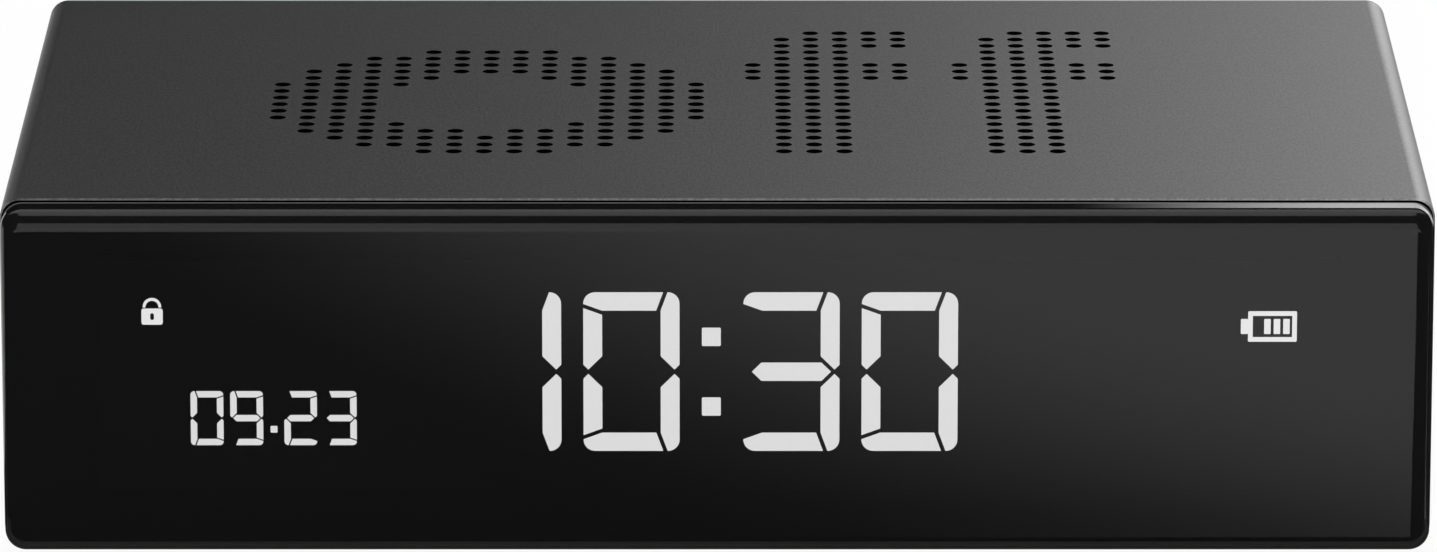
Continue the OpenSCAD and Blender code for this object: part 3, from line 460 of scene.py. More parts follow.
class Finish:
    """A material, or the world, and the nodes that make it."""

    def __init__(self, owner):
        owner.use_nodes = True
        self.owner = owner
        self.tree = owner.node_tree
        self.tree.nodes.clear()

    def add(self, kind, settings=None, sockets=None, output=0):
        """Adds a node with its settings and the values or links of its sockets."""
        node = self.tree.nodes.new(kind)
        for key, value in (settings or {}).items():
            setattr(node, key, value)
        for key, value in (sockets or {}).items():
            if isinstance(value, Value):
                self.tree.links.new(value.socket, node.inputs[key])
            else:
                node.inputs[key].default_value = value
        return Value(self, node.outputs[output]) if node.outputs else node

    def maths(self, operation, *terms):
        """A Math node."""
        return self.add("ShaderNodeMath", {"operation": operation}, dict(enumerate(terms)))

    def place(self):
        """Object coordinates."""
        return self.add("ShaderNodeTexCoord", output="Object")

    def axes(self):
        """The three object coordinates as single values."""
        place = self.place()
        return [self.add("ShaderNodeSeparateXYZ", None, {0: place}, axis) for axis in range(3)]

    def noise(self, size, detail=2.0, stretch=(1, 1, 1)):
        """Noise from 0 to 1 with blotches of a size in metres."""
        place = self.add("ShaderNodeMapping", None, {"Vector": self.place(), "Scale": stretch})
        return self.add("ShaderNodeTexNoise", None, {"Vector": place, "Scale": 1 / size, "Detail": detail})

    def cells(self, size, feature="F1"):
        """Distance from the middle or the border of cells of a size in metres."""
        settings = {"feature": feature}
        return self.add("ShaderNodeTexVoronoi", settings, {"Vector": self.place(), "Scale": 1 / size})

    def smoothstep(self, value, low, high):
        """Rises softly from 0 at low to 1 at high."""
        settings = {"interpolation_type": "SMOOTHSTEP"}
        return self.add("ShaderNodeMapRange", settings, {"Value": value, "From Min": low, "From Max": high})

    def blend(self, share, first, second):
        """Mixes two colours."""
        return self.add(
            "ShaderNodeMix", {"data_type": "RGBA"}, {0: share, 6: opaque(first), 7: opaque(second)}, 2
        )

    def tones(self, share, colour, low, high):
        """A colour that turns from a darker to a lighter share of itself."""
        return self.blend(share, tone(colour, low), tone(colour, high))

    def bump(self, height, depth, strength=1.0):
        """A normal from a height of a depth in metres."""
        return self.add("ShaderNodeBump", None, {"Height": height, "Distance": depth, "Strength": strength})

    def shade(self, sockets):
        """Adds the Principled shader and returns the material."""
        return self.show(self.add("ShaderNodeBsdfPrincipled", None, sockets))

    def show(self, shader):
        """Links a shader to the output."""
        in_world = isinstance(self.owner, bpy.types.World)
        kind = "ShaderNodeOutputWorld" if in_world else "ShaderNodeOutputMaterial"
        self.add(kind, None, {"Surface": shader})
        return self.owner


def opaque(colour):
    """A colour with four numbers, or a link as it is."""
    return colour if isinstance(colour, Value) else (*tuple(colour)[:3], 1.0)


def tone(colour, share):
    """A colour made lighter or darker."""
    return tuple(min(channel * share, 1.0) for channel in tuple(colour)[:3])


def new_finish(name):
    """The start of a material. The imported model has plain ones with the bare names."""
    return Finish(bpy.data.materials.new(f"{name}_finish"))


def moulded(name, colour, roughness, grain, depth):
    """Moulded plastic: a fine eroded grain, and slightly uneven tone and gloss. Sizes in millimetres."""
    finish = new_finish(name)
    fine = finish.smoothstep(finish.noise(grain * MM, 3.0), 0.3, 0.7)
    wide = finish.noise(9 * MM)
    return finish.shade(
        {
            "Base Color": finish.tones(wide * 0.5 + fine * 0.5, colour, 0.8, 1.2),
            "Roughness": roughness + (fine - 0.5) * 0.08 + (wide - 0.5) * 0.1,
            "Normal": finish.bump(fine, depth * MM),
        }
    )


def metal(name, colour, roughness, grain, depth, stretch=(1, 1, 1)):
    """Plated or drawn metal: fine lines or speckle, cloudy gloss. Sizes in millimetres."""
    finish = new_finish(name)
    fine = finish.noise(grain * MM, 4.0, stretch)
    wide = finish.noise(4 * MM, 3.0)
    return finish.shade(
        {
            "Base Color": finish.tones(wide, colour, 0.92, 1.08),
            "Metallic": 1.0,
            "Roughness": roughness + (fine - 0.5) * 0.18 + (wide - 0.5) * 0.12,
            "Normal": finish.bump(fine, depth * MM),
        }
    )


def anodised(name, colour):
    """Bead blasted, anodised aluminium with a fine grain that runs along the extrusion."""
    finish = new_finish(name)
    grain = finish.smoothstep(finish.noise(0.19 * MM, 2.0, (1, 0.36, 1)), 0.32, 0.68)
    cloud = finish.noise(14 * MM)
    return finish.shade(
        {
            "Base Color": finish.tones(grain, colour, 0.75, 1.25),
            "Metallic": 1.0,
            "Roughness": 0.4 + (cloud - 0.5) * 0.03 + (grain - 0.5) * 0.05,
            "Normal": finish.bump(grain, 0.002 * MM, 0.6),
        }
    )


def blackened_metal(name, colour):
    """Painted shade: deep black and dull, in the sound holes and on the sleeve's end in the shadow gap,
    where the aluminium would lie in shade.
    """
    finish = new_finish(name)
    grain = finish.noise(0.1 * MM)
    return finish.shade(
        {
            "Base Color": finish.tones(grain, colour, 0.8, 1.2),
            "Roughness": 0.9 + (grain - 0.5) * 0.1,
            "Specular IOR Level": 0.0,
            "Normal": finish.bump(grain, 0.003 * MM),
        }
    )


def smoked(name, colour, cover=0.72):
    """Polished smoked plastic, faintly uneven in its gloss, with the share of light that it holds back."""
    finish = new_finish(name)
    haze = finish.noise(18 * MM, 3.0)
    return finish.shade(
        {
            "Base Color": finish.tones(haze, colour, 0.92, 1.08),
            "Roughness": 0.0015 + haze * 0.002,
            "IOR": 1.59,
            "Alpha": cover,
        }
    )


def black_print(name, colour):
    """Opaque screen print on the back of the lens."""
    finish = new_finish(name)
    speck = finish.noise(0.3 * MM)
    return finish.shade(
        {
            "Base Color": finish.tones(speck, colour, 0.85, 1.15),
            "Roughness": 0.7 + (speck - 0.5) * 0.1,
            "Specular IOR Level": 0.1,
        }
    )


def clear_window(name, colour):
    """The unprinted window behind the lens: almost clear."""
    finish = new_finish(name)
    haze = finish.noise(6 * MM)
    return finish.shade(
        {
            "Base Color": finish.tones(haze, colour, 0.9, 1.1),
            "Roughness": 0.4,
            "Specular IOR Level": 0.0,
            "Alpha": 0.06,
        }
    )


def lit(name, colour, strength):
    """A display sign: even white light with a faint diffuser grain."""
    finish = new_finish(name)
    grain = finish.noise(0.5 * MM)
    return finish.shade(
        {
            "Base Color": (0.02, 0.02, 0.02, 1.0),
            "Roughness": 0.6,
            "Emission Color": finish.tones(grain, colour, 0.96, 1.0),
            "Emission Strength": strength,
        }
    )


def inked(name, colour):
    """Pad printed ink, slightly thin in places."""
    finish = new_finish(name)
    speck = finish.noise(0.15 * MM, 3.0)
    return finish.shade(
        {
            "Base Color": finish.tones(speck, colour, 0.86, 1.06),
            "Roughness": 0.55 + (speck - 0.5) * 0.15,
            "Normal": finish.bump(speck, 0.003 * MM),
        }
    )


def cloth(name, colour):
    """Fine square weave of black threads."""
    finish = new_finish(name)
    across, along, _ = finish.axes()
    step = 0.22 * MM
    warp = abs(across.repeat(step) - 0.5) * 2
    weft = abs(along.repeat(step) - 0.5) * 2
    thread = warp.largest(weft)
    fuzz = finish.noise(0.06 * MM)
    return finish.shade(
        {
            "Base Color": finish.tones(thread, colour, 0.4, 1.5),
            "Roughness": 0.85 + fuzz * 0.1,
            "Normal": finish.bump(thread + fuzz * 0.2, 0.03 * MM),
        }
    )


def foam(name, colour, size):
    """Open foam: small pores with soft walls. Size in millimetres."""
    finish = new_finish(name)
    pore = finish.cells(size * MM)
    return finish.shade(
        {
            "Base Color": finish.tones(pore, colour, 0.5, 1.4),
            "Roughness": 0.9,
            "Normal": finish.bump(pore, 0.08 * MM),
        }
    )


def dark_glass(name, colour):
    """Display glass with its dark film, faintly fibrous."""
    finish = new_finish(name)
    fibre = finish.noise(0.4 * MM, 3.0, (1, 1, 8))
    return finish.shade(
        {
            "Base Color": finish.tones(fibre, colour, 0.85, 1.15),
            "Roughness": 0.5 + (fibre - 0.5) * 0.06,
            "Specular IOR Level": 0.1,
        }
    )


def frosted(name, colour):
    """Light guide: frosted clear plastic with rows of printed dots."""
    finish = new_finish(name)
    across, _, up = finish.axes()
    step = 1.2 * MM
    dot_x = abs(across.repeat(step) - 0.5)
    dot_z = abs(up.repeat(step) - 0.5)
    dot = (dot_x * dot_x + dot_z * dot_z) < 0.05
    frost = finish.noise(0.2 * MM)
    return finish.shade(
        {
            "Base Color": finish.tones(dot, colour, 0.88, 1.12),
            "Roughness": 0.3 + frost * 0.15 + dot * 0.3,
            "Normal": finish.bump(dot + frost * 0.2, 0.02 * MM),
        }
    )


def striped(name, colour, step, share, dark, roughness=0.6):
    """Stripes from front to back, as on contact rubber or ribbon cable. Step in millimetres."""
    finish = new_finish(name)
    stripe = abs(finish.axes()[0].repeat(step * MM) - 0.5) * 2 < share
    speck = finish.noise(0.2 * MM)
    return finish.shade(
        {
            "Base Color": finish.blend(stripe, colour, dark),
            "Roughness": roughness + (speck - 0.5) * 0.15,
            "Normal": finish.bump(stripe + speck * 0.3, 0.02 * MM),
        }
    )


def solder_mask(name, colour):
    """Circuit board: green mask over copper tracks with small through holes."""
    finish = new_finish(name)
    bricks = finish.add(
        "ShaderNodeTexBrick",
        {"offset": 0.37, "squash": 0.6, "squash_frequency": 3},
        {
            "Vector": finish.place(),
            "Scale": 1 / (4 * MM),
            "Mortar Size": 0.035,
            "Mortar Smooth": 0.2,
            "Brick Width": 0.9,
            "Row Height": 0.3,
        },
        1,
    )
    pad = finish.cells(2.3 * MM) < 0.12
    speck = finish.noise(0.15 * MM)
    mask = finish.tones(bricks, colour, 0.8, 1.7)
    return finish.shade(
        {
            "Base Color": finish.blend(pad, mask, (0.75, 0.6, 0.3)),
            "Metallic": pad,
            "Roughness": 0.32 + speck * 0.1,
            "Normal": finish.bump(bricks + pad, 0.025 * MM),
        }
    )


def pulp(name, colour):
    """Pressed paper pulp with fibres."""
    finish = new_finish(name)
    fibre = finish.noise(0.5 * MM, 5.0, (1, 0.4, 1))
    return finish.shade(
        {
            "Base Color": finish.tones(fibre, colour, 0.6, 1.6),
            "Roughness": 0.8 + (fibre - 0.5) * 0.15,
            "Normal": finish.bump(fibre, 0.05 * MM),
        }
    )


def foil(name, colour):
    """Laminated pouch foil with soft creases."""
    finish = new_finish(name)
    crease = finish.noise(5 * MM, 4.0)
    dent = finish.cells(7 * MM, "DISTANCE_TO_EDGE")
    return finish.shade(
        {
            "Base Color": finish.tones(crease, colour, 0.85, 1.1),
            "Metallic": 1.0,
            "Roughness": 0.28 + crease * 0.14,
            "Normal": finish.bump(crease + dent * 0.3, 0.12 * MM),
        }
    )


def film(name, colour):
    """Thin adhesive film with faint wrinkles."""
    finish = new_finish(name)
    wrinkle = finish.noise(2.5 * MM, 4.0, (1, 3, 1))
    return finish.shade(
        {
            "Base Color": finish.tones(wrinkle, colour, 0.85, 1.12),
            "Roughness": 0.22 + wrinkle * 0.15,
            "Normal": finish.bump(wrinkle, 0.05 * MM),
        }
    )


def make_finishes(colours):
    """The materials of all slots of the record."""
    colour_of = {entry["slot"]: entry["base_color"] for entry in frame["record"]["materials"]}
    colour_of["anodised_sleeve"] = colours.sleeve
    colour_of["smoked_lens"] = colours.lens
    colour_of["display_glass"] = colours.lens_back
    plans = {
        "anodised_sleeve": (anodised,),
        "acoustic_cloth": (cloth,),
        "smoked_lens": (smoked,),
        "bonding_tape": (foam, 0.18),
        "display_glass": (dark_glass,),
        "guide_plastic": (frosted,),
        "contact_rubber": (striped, 0.2, 0.5, (0.03, 0.03, 0.03)),
        "circuit_board": (solder_mask,),
        "foam_rubber": (foam, 0.35),
        "cone_paper": (pulp,),
        "battery_foil": (foil,),
        "battery_tape": (film,),
        "ribbon_film": (striped, 1.0, 0.45, (0.5, 0.5, 0.53), 0.4),
        "wire_jacket": (moulded, 0.35, 0.3, 0.005),
        "lamp_resin": (moulded, 0.2, 0.3, 0.003),
        "frame_plastic": (moulded, 0.56, 0.34, 0.02),
        "connector_plastic": (moulded, 0.45, 0.2, 0.006),
        "chip_plastic": (moulded, 0.55, 0.08, 0.008),
        "socket_plastic": (moulded, 0.5, 0.15, 0.006),
        "switch_plastic": (moulded, 0.5, 0.12, 0.008),
        "plunger_plastic": (moulded, 0.4, 0.12, 0.006),
        "key_plastic": (moulded, 0.48, 0.1, 0.006),
        "screw_steel": (metal, 0.3, 0.15, 0.004),
        "black_screw": (metal, 0.42, 0.12, 0.005),
        "basket_steel": (metal, 0.45, 0.3, 0.01),
        "magnet_steel": (metal, 0.35, 0.12, 0.004),
        "crystal_steel": (metal, 0.22, 0.1, 0.003, (0.08, 1, 1)),
        "socket_steel": (metal, 0.24, 0.1, 0.003, (1, 0.06, 1)),
        "switch_steel": (metal, 0.3, 0.1, 0.003, (0.08, 1, 1)),
        "tilt_steel": (metal, 0.24, 0.1, 0.003, (1, 1, 0.08)),
        "ball_brass": (metal, 0.18, 0.2, 0.002),
    }
    return {slot: maker(slot, colour_of[slot], *settings) for slot, (maker, *settings) in plans.items()}


def finish_of(name):
    """A finish that an earlier step has made."""
    return bpy.data.materials[f"{name}_finish"]


class ALARMCLOCK_OT_finishes(Operator):
    """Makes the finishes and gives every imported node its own"""

    bl_idname = "alarmclock.finishes"
    bl_label = "Finishes"

    def execute(self, context):
        made = make_finishes(context.scene.clock_colours)
        for subpart in frame["record"]["subparts"]:
            node = frame["nodes"][subpart["node"]]
            if not node.material_slots:
                node.data.materials.append(None)
            for slot in node.material_slots:
                slot.material = made[subpart["material_slot"]]
        return {"FINISHED"}


class ALARMCLOCK_OT_sleeve(Operator):
    """Shades the aluminium sleeve smooth and paints black shade into its sound holes and onto its end in the
    shadow gap
    """

    bl_idname = "alarmclock.sleeve"
    bl_label = "Sleeve"

    def execute(self, context):
        piece = node_copy("sleeve", "casing_sleeve")
        smooth(piece, 30)
        blackened = blackened_metal("blackened_metal", context.scene.clock_colours.blackened)
        dress(piece, finish_of("anodised_sleeve"), blackened)
        inner = 3 * MM
        # Painted shade: the bores of the sound holes and the sleeve's front end in the shadow gap take the
        # black finish in place of the aluminium.
        for face in piece.data.polygons:
            upright = abs(face.normal.z) < 0.5
            inside = abs(face.center.x) < SLEEVE_HIGH.x - inner
            clear = SLEEVE_LOW.y + inner < face.center.y < SLEEVE_HIGH.y - inner
            in_gap = face.normal.y < -0.99
            if in_gap or (upright and inside and clear):
                face.material_index = 1
        settle(piece, "housing", "anodised_sleeve", "sleeve")
        return {"FINISHED"}


class ALARMCLOCK_OT_lens(Operator):
    """Models the smoked front lens with its rounded edges and the pocket for the display"""

    bl_idname = "alarmclock.lens"
    bl_label = "Front lens"

    def execute(self, context):
        sizes = context.scene.clock_lens
        colours = context.scene.clock_colours
        back = LENS_HIGH.y - sizes.tape_room
        piece = block("lens_panel", LENS_LOW, Vector((LENS_HIGH.x, back, LENS_HIGH.z)))
        round_edges(piece, along_depth, sizes.corner, 16)
        for depth, radius, segments in ((LENS_LOW.y, sizes.front_edge, 14), (back, sizes.back_edge, 4)):
            round_edges(
                piece,
                lambda edge: all(abs(vert.co.y - depth) < NEAR for vert in edge.verts),
                radius,
                segments,
            )
        clear = Vector((sizes.pocket_clear, 0, sizes.pocket_clear))
        low = GLASS_LOW - clear
        low.y = GLASS_LOW.y - sizes.display_gap
        high = GLASS_HIGH + clear
        high.y = LENS_HIGH.y + 1 * MM
        cutter = block("pocket_cutter", low, high)
        round_edges(cutter, along_depth, sizes.pocket_corner, 6)
        cut_out(piece, cutter)
        ground = LENS_HIGH.y - sizes.ground_band
        edit(piece)
        bpy.ops.mesh.select_all(action="SELECT")
        bpy.ops.mesh.bisect(plane_co=(0, ground, 0), plane_no=(0, 1, 0), threshold=1e-7)
        choose(
            piece,
            "faces",
            lambda face: face.normal.y > 0.99 and abs(face.calc_center_median().y - low.y) < NEAR,
        )
        bpy.ops.mesh.inset(thickness=sizes.window_border, depth=0)
        close(piece)
        smooth(piece, 30)
        dress(
            piece,
            finish_of("smoked_lens"),
            black_print("lens_print", colours.lens_back),
            clear_window("lens_window", colours.lens_back),
            moulded("ground_edge", colours.ground_edge, 0.5, 0.1, 0.004),
            smoked("smoked_rim", colours.lens, 1.0),
        )
        # The ground band's lighter grey is a matte ground face and also paints the thin highlight along the
        # lens's rear edge.
        back_print, window, ground_edge, rim = range(1, 5)
        middle = (low + high) / 2
        for face in piece.data.polygons:
            place, normal = face.center, face.normal
            backward = normal.y > 0.99
            on_floor = backward and abs(place.y - low.y) < NEAR
            in_pocket = place.y > low.y and all(
                low[axis] - NEAR < place[axis] < high[axis] + NEAR for axis in (0, 2)
            )
            if on_floor and (place - middle).xz.length < 1 * MM:
                face.material_index = window
            elif backward or in_pocket:
                face.material_index = back_print
            elif place.y > ground:
                face.material_index = ground_edge
            elif normal.y > -0.3 and normal.z < 0.5:
                face.material_index = rim
        settle(piece, "housing", "smoked_lens", "front_lens")
        return {"FINISHED"}


def segment_outlines(sizes):
    """Box, cuts and rounded corner of a digit's upper bars and middle bar, from its top left corner."""
    width, height, stroke = sizes.digit_width, sizes.digit_height, sizes.stroke
    corner, tip = sizes.corner, sizes.tip
    middle = height / 2
    upper_tip = middle - sizes.tip_gap / 2
    slant = math.atan2(stroke - corner, stroke)
    shift = sizes.gap / math.cos(slant)
    inner = upper_tip - (stroke - tip)
    point = tip - sizes.tip_gap / 2 + sizes.gap * math.sqrt(2)
    half = stroke / 2
    return {
        "a": (
            (0, 0, width, stroke),
            [
                ((0, corner), (stroke, stroke)),
                ((width - stroke - shift, stroke), (width - corner - shift, 0)),
            ],
            (0, 0),
        ),
        "b": (
            (width - stroke, 0, width, upper_tip),
            [
                ((width - corner, 0), (width - stroke, stroke)),
                ((width - stroke, inner), (width - tip, upper_tip)),
                ((width - tip, upper_tip), (width, upper_tip - tip)),
            ],
            (width, 0),
        ),
        "f": (
            (0, 0, stroke, upper_tip),
            [
                ((stroke, stroke + shift), (0, corner + shift)),
                ((tip, upper_tip), (stroke, inner)),
                ((0, upper_tip - tip), (tip, upper_tip)),
            ],
            None,
        ),
        "g": (
            (point, middle - half, width - point, middle + half),
            [
                ((point + half, middle - half), (point, middle)),
                ((point, middle), (point + half, middle + half)),
                ((width - point - half, middle + half), (width - point, middle)),
                ((width - point, middle), (width - point - half, middle - half)),
            ],
            None,
        ),
    }


def make_bars(sizes):
    """The seven bars of a large digit, with the digit's top left corner at the origin."""
    bars = {}
    for name, (box, cuts, rounded) in segment_outlines(sizes).items():
        left, top, right, bottom = box
        bar = block(f"bar_{name}", (left, 0, -bottom), (right, sizes.thickness, -top))
        for start, end in cuts:
            trim(bar, (start[0], -start[1]), (end[0], -end[1]))
        if rounded:
            spot = Vector((rounded[0], -rounded[1]))
            round_edges(
                bar,
                lambda edge: along_depth(edge) and (edge.verts[0].co.xz - spot).length < NEAR,
                sizes.corner * 0.98,
                8,
            )
        bars[name] = bar
    flip = Matrix.Translation((0, 0, -sizes.digit_height)) @ Matrix.Diagonal((1, 1, -1, 1))
    for name, source in (("c", "b"), ("d", "a"), ("e", "f")):
        bars[name] = twin(bars[source], f"bar_{name}", flip)
        tidy_normals(bars[name])
    return bars


def write_digits(bars, digits, places, height, sizes, mirrored):
    """Copies the lit bars of some digits to their places, given as left edge and top."""
    share = height / sizes.digit_height
    made = []
    for digit, (left, top) in zip(digits, places):
        turn = Matrix.Diagonal((-share if mirrored else share, 1, share, 1))
        start = left + (share * sizes.digit_width if mirrored else 0)
        move = Matrix.Translation((start, sign_depth(sizes), top))
        for name in LIT_SEGMENTS[digit]:
            source = MIRROR_SEGMENTS.get(name, name) if mirrored else name
            made.append(twin(bars[source], f"digit_{name}", move @ turn))
    return made


def digit_places(count, left, top, pitch, room):
    """Left edge and top of each digit, with extra room after the second one."""
    places = []
    for index in range(count):
        places.append((left, top))
        left += pitch + (room if index == 1 else 0)
    return places


def sign_depth(sizes):
    """Front of the lit signs, in the gap between pocket floor and display glass."""
    return GLASS_LOW.y - sizes.thickness - sizes.glass_room


def plate(name, left, top, width, height, layer, corner):
    """A flat plate with rounded corners that faces the front. A layer is a depth and a thickness."""
    depth, thickness = layer
    piece = block(name, (left, depth, top - height), (left + width, depth + thickness, top))
    return round_edges(piece, along_depth, corner, 5)


def through(layer):
    """The layer of a cutter that goes right through another layer."""
    depth, thickness = layer
    return depth - thickness, thickness * 3


def ring(name, across, up, radius, stroke, layer, sides):
    """A flat ring that faces the front."""
    depth, thickness = layer
    centre = (across, depth + thickness / 2, up)
    piece = disc(name, centre, radius, thickness, sides)
    cut_out(piece, disc("ring_inside", centre, radius - stroke, thickness * 3, sides))
    return piece


def padlock(name, middle, top, width, layer):
    """A padlock sign: body with a keyhole, and a bow above it."""
    body_top = top - width * 0.515
    body = plate(name, middle - width / 2, body_top, width, width * 0.78, layer, width * 0.11)
    hole_width, hole_height = width * 0.18, width * 0.34
    hole_left = middle - hole_width / 2
    hole_top = body_top - width * 0.39 + hole_height / 2
    hole = plate(
        "keyhole", hole_left, hole_top, hole_width, hole_height, through(layer), hole_width * 0.49
    )
    cut_out(body, hole)
    radius, stroke = width * 0.434, width * 0.132
    foot = top - radius - width * 0.03
    bow = ring("bow", middle, top - radius, radius, stroke, layer, 40)
    trim(bow, (middle - width, foot), (middle + width, foot))
    low = foot + NEAR
    round_edges(bow, lambda edge: along_depth(edge) and edge.verts[0].co.z < low, stroke * 0.45, 4)
    return tidy_normals(join(name, [body, bow]))


def battery(name, left, top, width, layer):
    """A battery sign: frame, terminal and three bars."""
    height, stroke = width * 0.645, width * 0.096
    rim = plate(name, left, top, width, height, layer, stroke * 0.25)
    inside = plate(
        "rim_inside",
        left + stroke,
        top - stroke,
        width - 2 * stroke,
        height - 2 * stroke,
        through(layer),
        stroke * 0.15,
    )
    cut_out(rim, inside)
    bar_height, bar_width, bar_pitch = width * 0.316, width * 0.133, width * 0.195
    bar_left, bar_top = left + width * 0.33, top - (height - bar_height) / 2
    nub_width = width * 0.148
    nub = plate("nub", left - nub_width, bar_top, nub_width, bar_height, layer, stroke * 0.2)
    first = plate("charge", bar_left, bar_top, bar_width, bar_height, layer, stroke * 0.15)
    steps = [Matrix.Translation((count * bar_pitch, 0, 0)) for count in (1, 2)]
    return tidy_normals(join(name, [rim, nub, first] + [twin(first, "charge", step) for step in steps]))


class ALARMCLOCK_OT_signs(Operator):
    """Models the lit digits, colon, date, padlock and battery signs behind the lens"""

    bl_idname = "alarmclock.signs"
    bl_label = "Display signs"

    def execute(self, context):
        sizes = context.scene.clock_signs
        layer = (sign_depth(sizes), sizes.thickness)
        bars = make_bars(sizes)
        places = digit_places(
            len(sizes.time), sizes.time_left, sizes.time_top, sizes.digit_pitch, sizes.colon_room
        )
        time = write_digits(bars, sizes.time, places, sizes.digit_height, sizes, False)
        places = digit_places(
            len(sizes.date), sizes.date_left, sizes.date_top, sizes.date_pitch, sizes.dot_room
        )
        date = write_digits(bars, sizes.date, places, sizes.date_height, sizes, True)
        side = sizes.dot_side
        dot_left = places[2][0] - side * sizes.dot_shift
        dot_top = sizes.date_top - sizes.date_height * sizes.dot_drop
        date.append(plate("date_dot", dot_left, dot_top, side, side, layer, side * 0.08))
        side = sizes.colon_side
        colon_left = sizes.colon_middle - side / 2
        colon_top = sizes.time_top - sizes.digit_height / 2 + sizes.colon_step / 2 + side / 2
        upper = plate("colon", colon_left, colon_top, side, side, layer, side * 0.06)
        lower = twin(upper, "colon", Matrix.Translation((0, 0, -sizes.colon_step)))
        digits = [
            join("time_digits", time),
            join("date_digits", date),
            join("time_colon", [upper, lower]),
        ]
        signs = [
            padlock("padlock_sign", sizes.lock_middle, sizes.lock_top, sizes.lock_width, layer),
            battery("battery_sign", sizes.cell_left, sizes.cell_top, sizes.cell_width, layer),
        ]
        for bar in bars.values():
            bpy.data.objects.remove(bar)
        colour = context.scene.clock_colours.sign
        for pieces, light in (
            (digits, lit("display_light", colour, sizes.digit_light)),
            (signs, lit("sign_light", colour, sizes.sign_light)),
        ):
            for piece in pieces:
                dress(tidy_normals(piece), light)
                settle(piece, "housing", "display_glass")
        return {"FINISHED"}


class ALARMCLOCK_OT_rear(Operator):
    """Rounds the edges of the rear cover, keys, lock knob, socket and screws"""

    bl_idname = "alarmclock.rear"
    bl_label = "Rear pieces"

    def execute(self, context):
        sizes = context.scene.clock_rear
        rows = [
            ("rear_cover", "back_cover", "housing", "frame_plastic", sizes.cover_edge),
            ("rear_screws", "back_screws", "housing", "black_screw", sizes.screw_edge),
            ("usb_shell", "socket_shell", "housing", "socket_steel", sizes.shell_edge),
            ("usb_tongue", "socket_tongue", "housing", "socket_plastic", sizes.shell_edge),
            ("lock_slider", "lock_knob_cap", "lock_knob", "key_plastic", sizes.knob_edge),
        ]
        for key in KEYS:
            rows.append((f"{key}_key", f"{key}_key_cap", f"{key}_button", "key_plastic", sizes.key_edge))
        for node, name, body, slot, radius in rows:
            piece = finer(node, name, radius)
            dress(piece, finish_of(slot))
            settle(piece, body, slot, node)
        return {"FINISHED"}


class ALARMCLOCK_OT_marks(Operator):
    """Models the printed marks on the keys"""

    bl_idname = "alarmclock.marks"
    bl_label = "Key marks"

    def execute(self, context):
        sizes = context.scene.clock_rear
        ink = inked("mark_ink", context.scene.clock_colours.ink)
        marks = {"set": self.clock_face, "alarm": self.bell, "minus": self.minus, "plus": self.plus}
        for key in KEYS:
            low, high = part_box(f"{key}_key")
            depth = high.y - sizes.key_dish - sizes.mark_sink * sizes.mark_depth
            layer = (depth, sizes.mark_depth)
            piece = marks[key]((low + high) / 2, sizes.mark_height, sizes.mark_stroke, layer)
            dress(tidy_normals(piece), ink)
            settle(piece, f"{key}_button", "key_plastic")
        return {"FINISHED"}

    def minus(self, middle, height, stroke, layer):
        """A minus bar."""
        left, top = middle.x - height / 2, middle.z + stroke / 2
        return plate("minus_mark", left, top, height, stroke, layer, stroke * 0.4)

    def plus(self, middle, height, stroke, layer):
        """A plus, cut from a square plate at its four corners."""
        half = height / 2
        piece = plate("plus_mark", middle.x - half, middle.z + half, height, height, layer, stroke * 0.4)
        reach = height - stroke / 2
        front, thickness = through(layer)
        for side in (-1, 1):
            for rise in (-1, 1):
                across = sorted(middle.x + side * step for step in (stroke / 2, reach))
                up = sorted(middle.z + rise * step for step in (stroke / 2, reach))
                low = (across[0], front, up[0])
                high = (across[1], front + thickness, up[1])
                cut_out(piece, block("plus_corner", low, high))
        return piece

    def clock_face(self, middle, height, stroke, layer):
        """A clock face with two hands."""
        rim = ring("set_mark", middle.x, middle.z, height / 2, stroke * 0.8, layer, 48)
        hand = stroke * 0.7
        corner, half = hand * 0.3, hand / 2
        long, short = height * 0.34, height * 0.24
        long_hand = plate("long_hand", middle.x - half, middle.z + long, hand, long + half, layer, corner)
        short_hand = plate("short_hand", middle.x - short, middle.z + half, short, hand, layer, corner)
        return join("set_mark", [rim, long_hand, short_hand])

    def bell(self, middle, height, _, layer):
        """A bell with a flared rim and a clapper."""
        depth, thickness = layer
        half = height * 0.31
        top = middle.z + height * 0.46
        foot = top - height * 0.62
        dome = block(
            "alarm_mark", (middle.x - half, depth, foot), (middle.x + half, depth + thickness, top)
        )
        round_edges(
            dome, lambda edge: along_depth(edge) and edge.verts[0].co.z > top - NEAR, half * 0.98, 10
        )
        edit(dome)
        choose(dome, "faces", lambda face: face.normal.z < -0.99)
        bpy.ops.mesh.extrude_region_move(TRANSFORM_OT_translate={"value": (0, 0, -height * 0.14)})
        bpy.ops.transform.resize(value=(1.45, 1, 1), center_override=(middle.x, depth, foot))
        close(dome)
        clapper = plate(
            "clapper",
            middle.x - height * 0.11,
            foot - height * 0.19,
            height * 0.22,
            height * 0.13,
            layer,
            height * 0.05,
        )
        return join("alarm_mark", [dome, clapper])


class ALARMCLOCK_OT_cover_marks(Operator):
    """Models the padlock beside the lock knob and the battery beside the charging socket"""

    bl_idname = "alarmclock.cover_marks"
    bl_label = "Cover marks"

    def execute(self, context):
        sizes = context.scene.clock_rear
        layer = (COVER_HIGH.y - sizes.mark_sink * sizes.mark_depth, sizes.mark_depth)
        middle = (SLEEVE_LOW.z + SLEEVE_HIGH.z) / 2
        width = sizes.lock_mark_width
        lock = padlock("lock_mark", sizes.lock_mark_middle, middle + width * 0.65, width, layer)
        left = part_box("usb_shell")[1].x + sizes.charge_mark_gap
        top = middle + sizes.charge_mark_rise
        cell = battery("charge_mark", left, top, sizes.charge_mark_width, layer)
        for piece in (lock, cell):
            dress(piece, finish_of("mark_ink"))
            settle(piece, "housing", "frame_plastic")
        return {"FINISHED"}


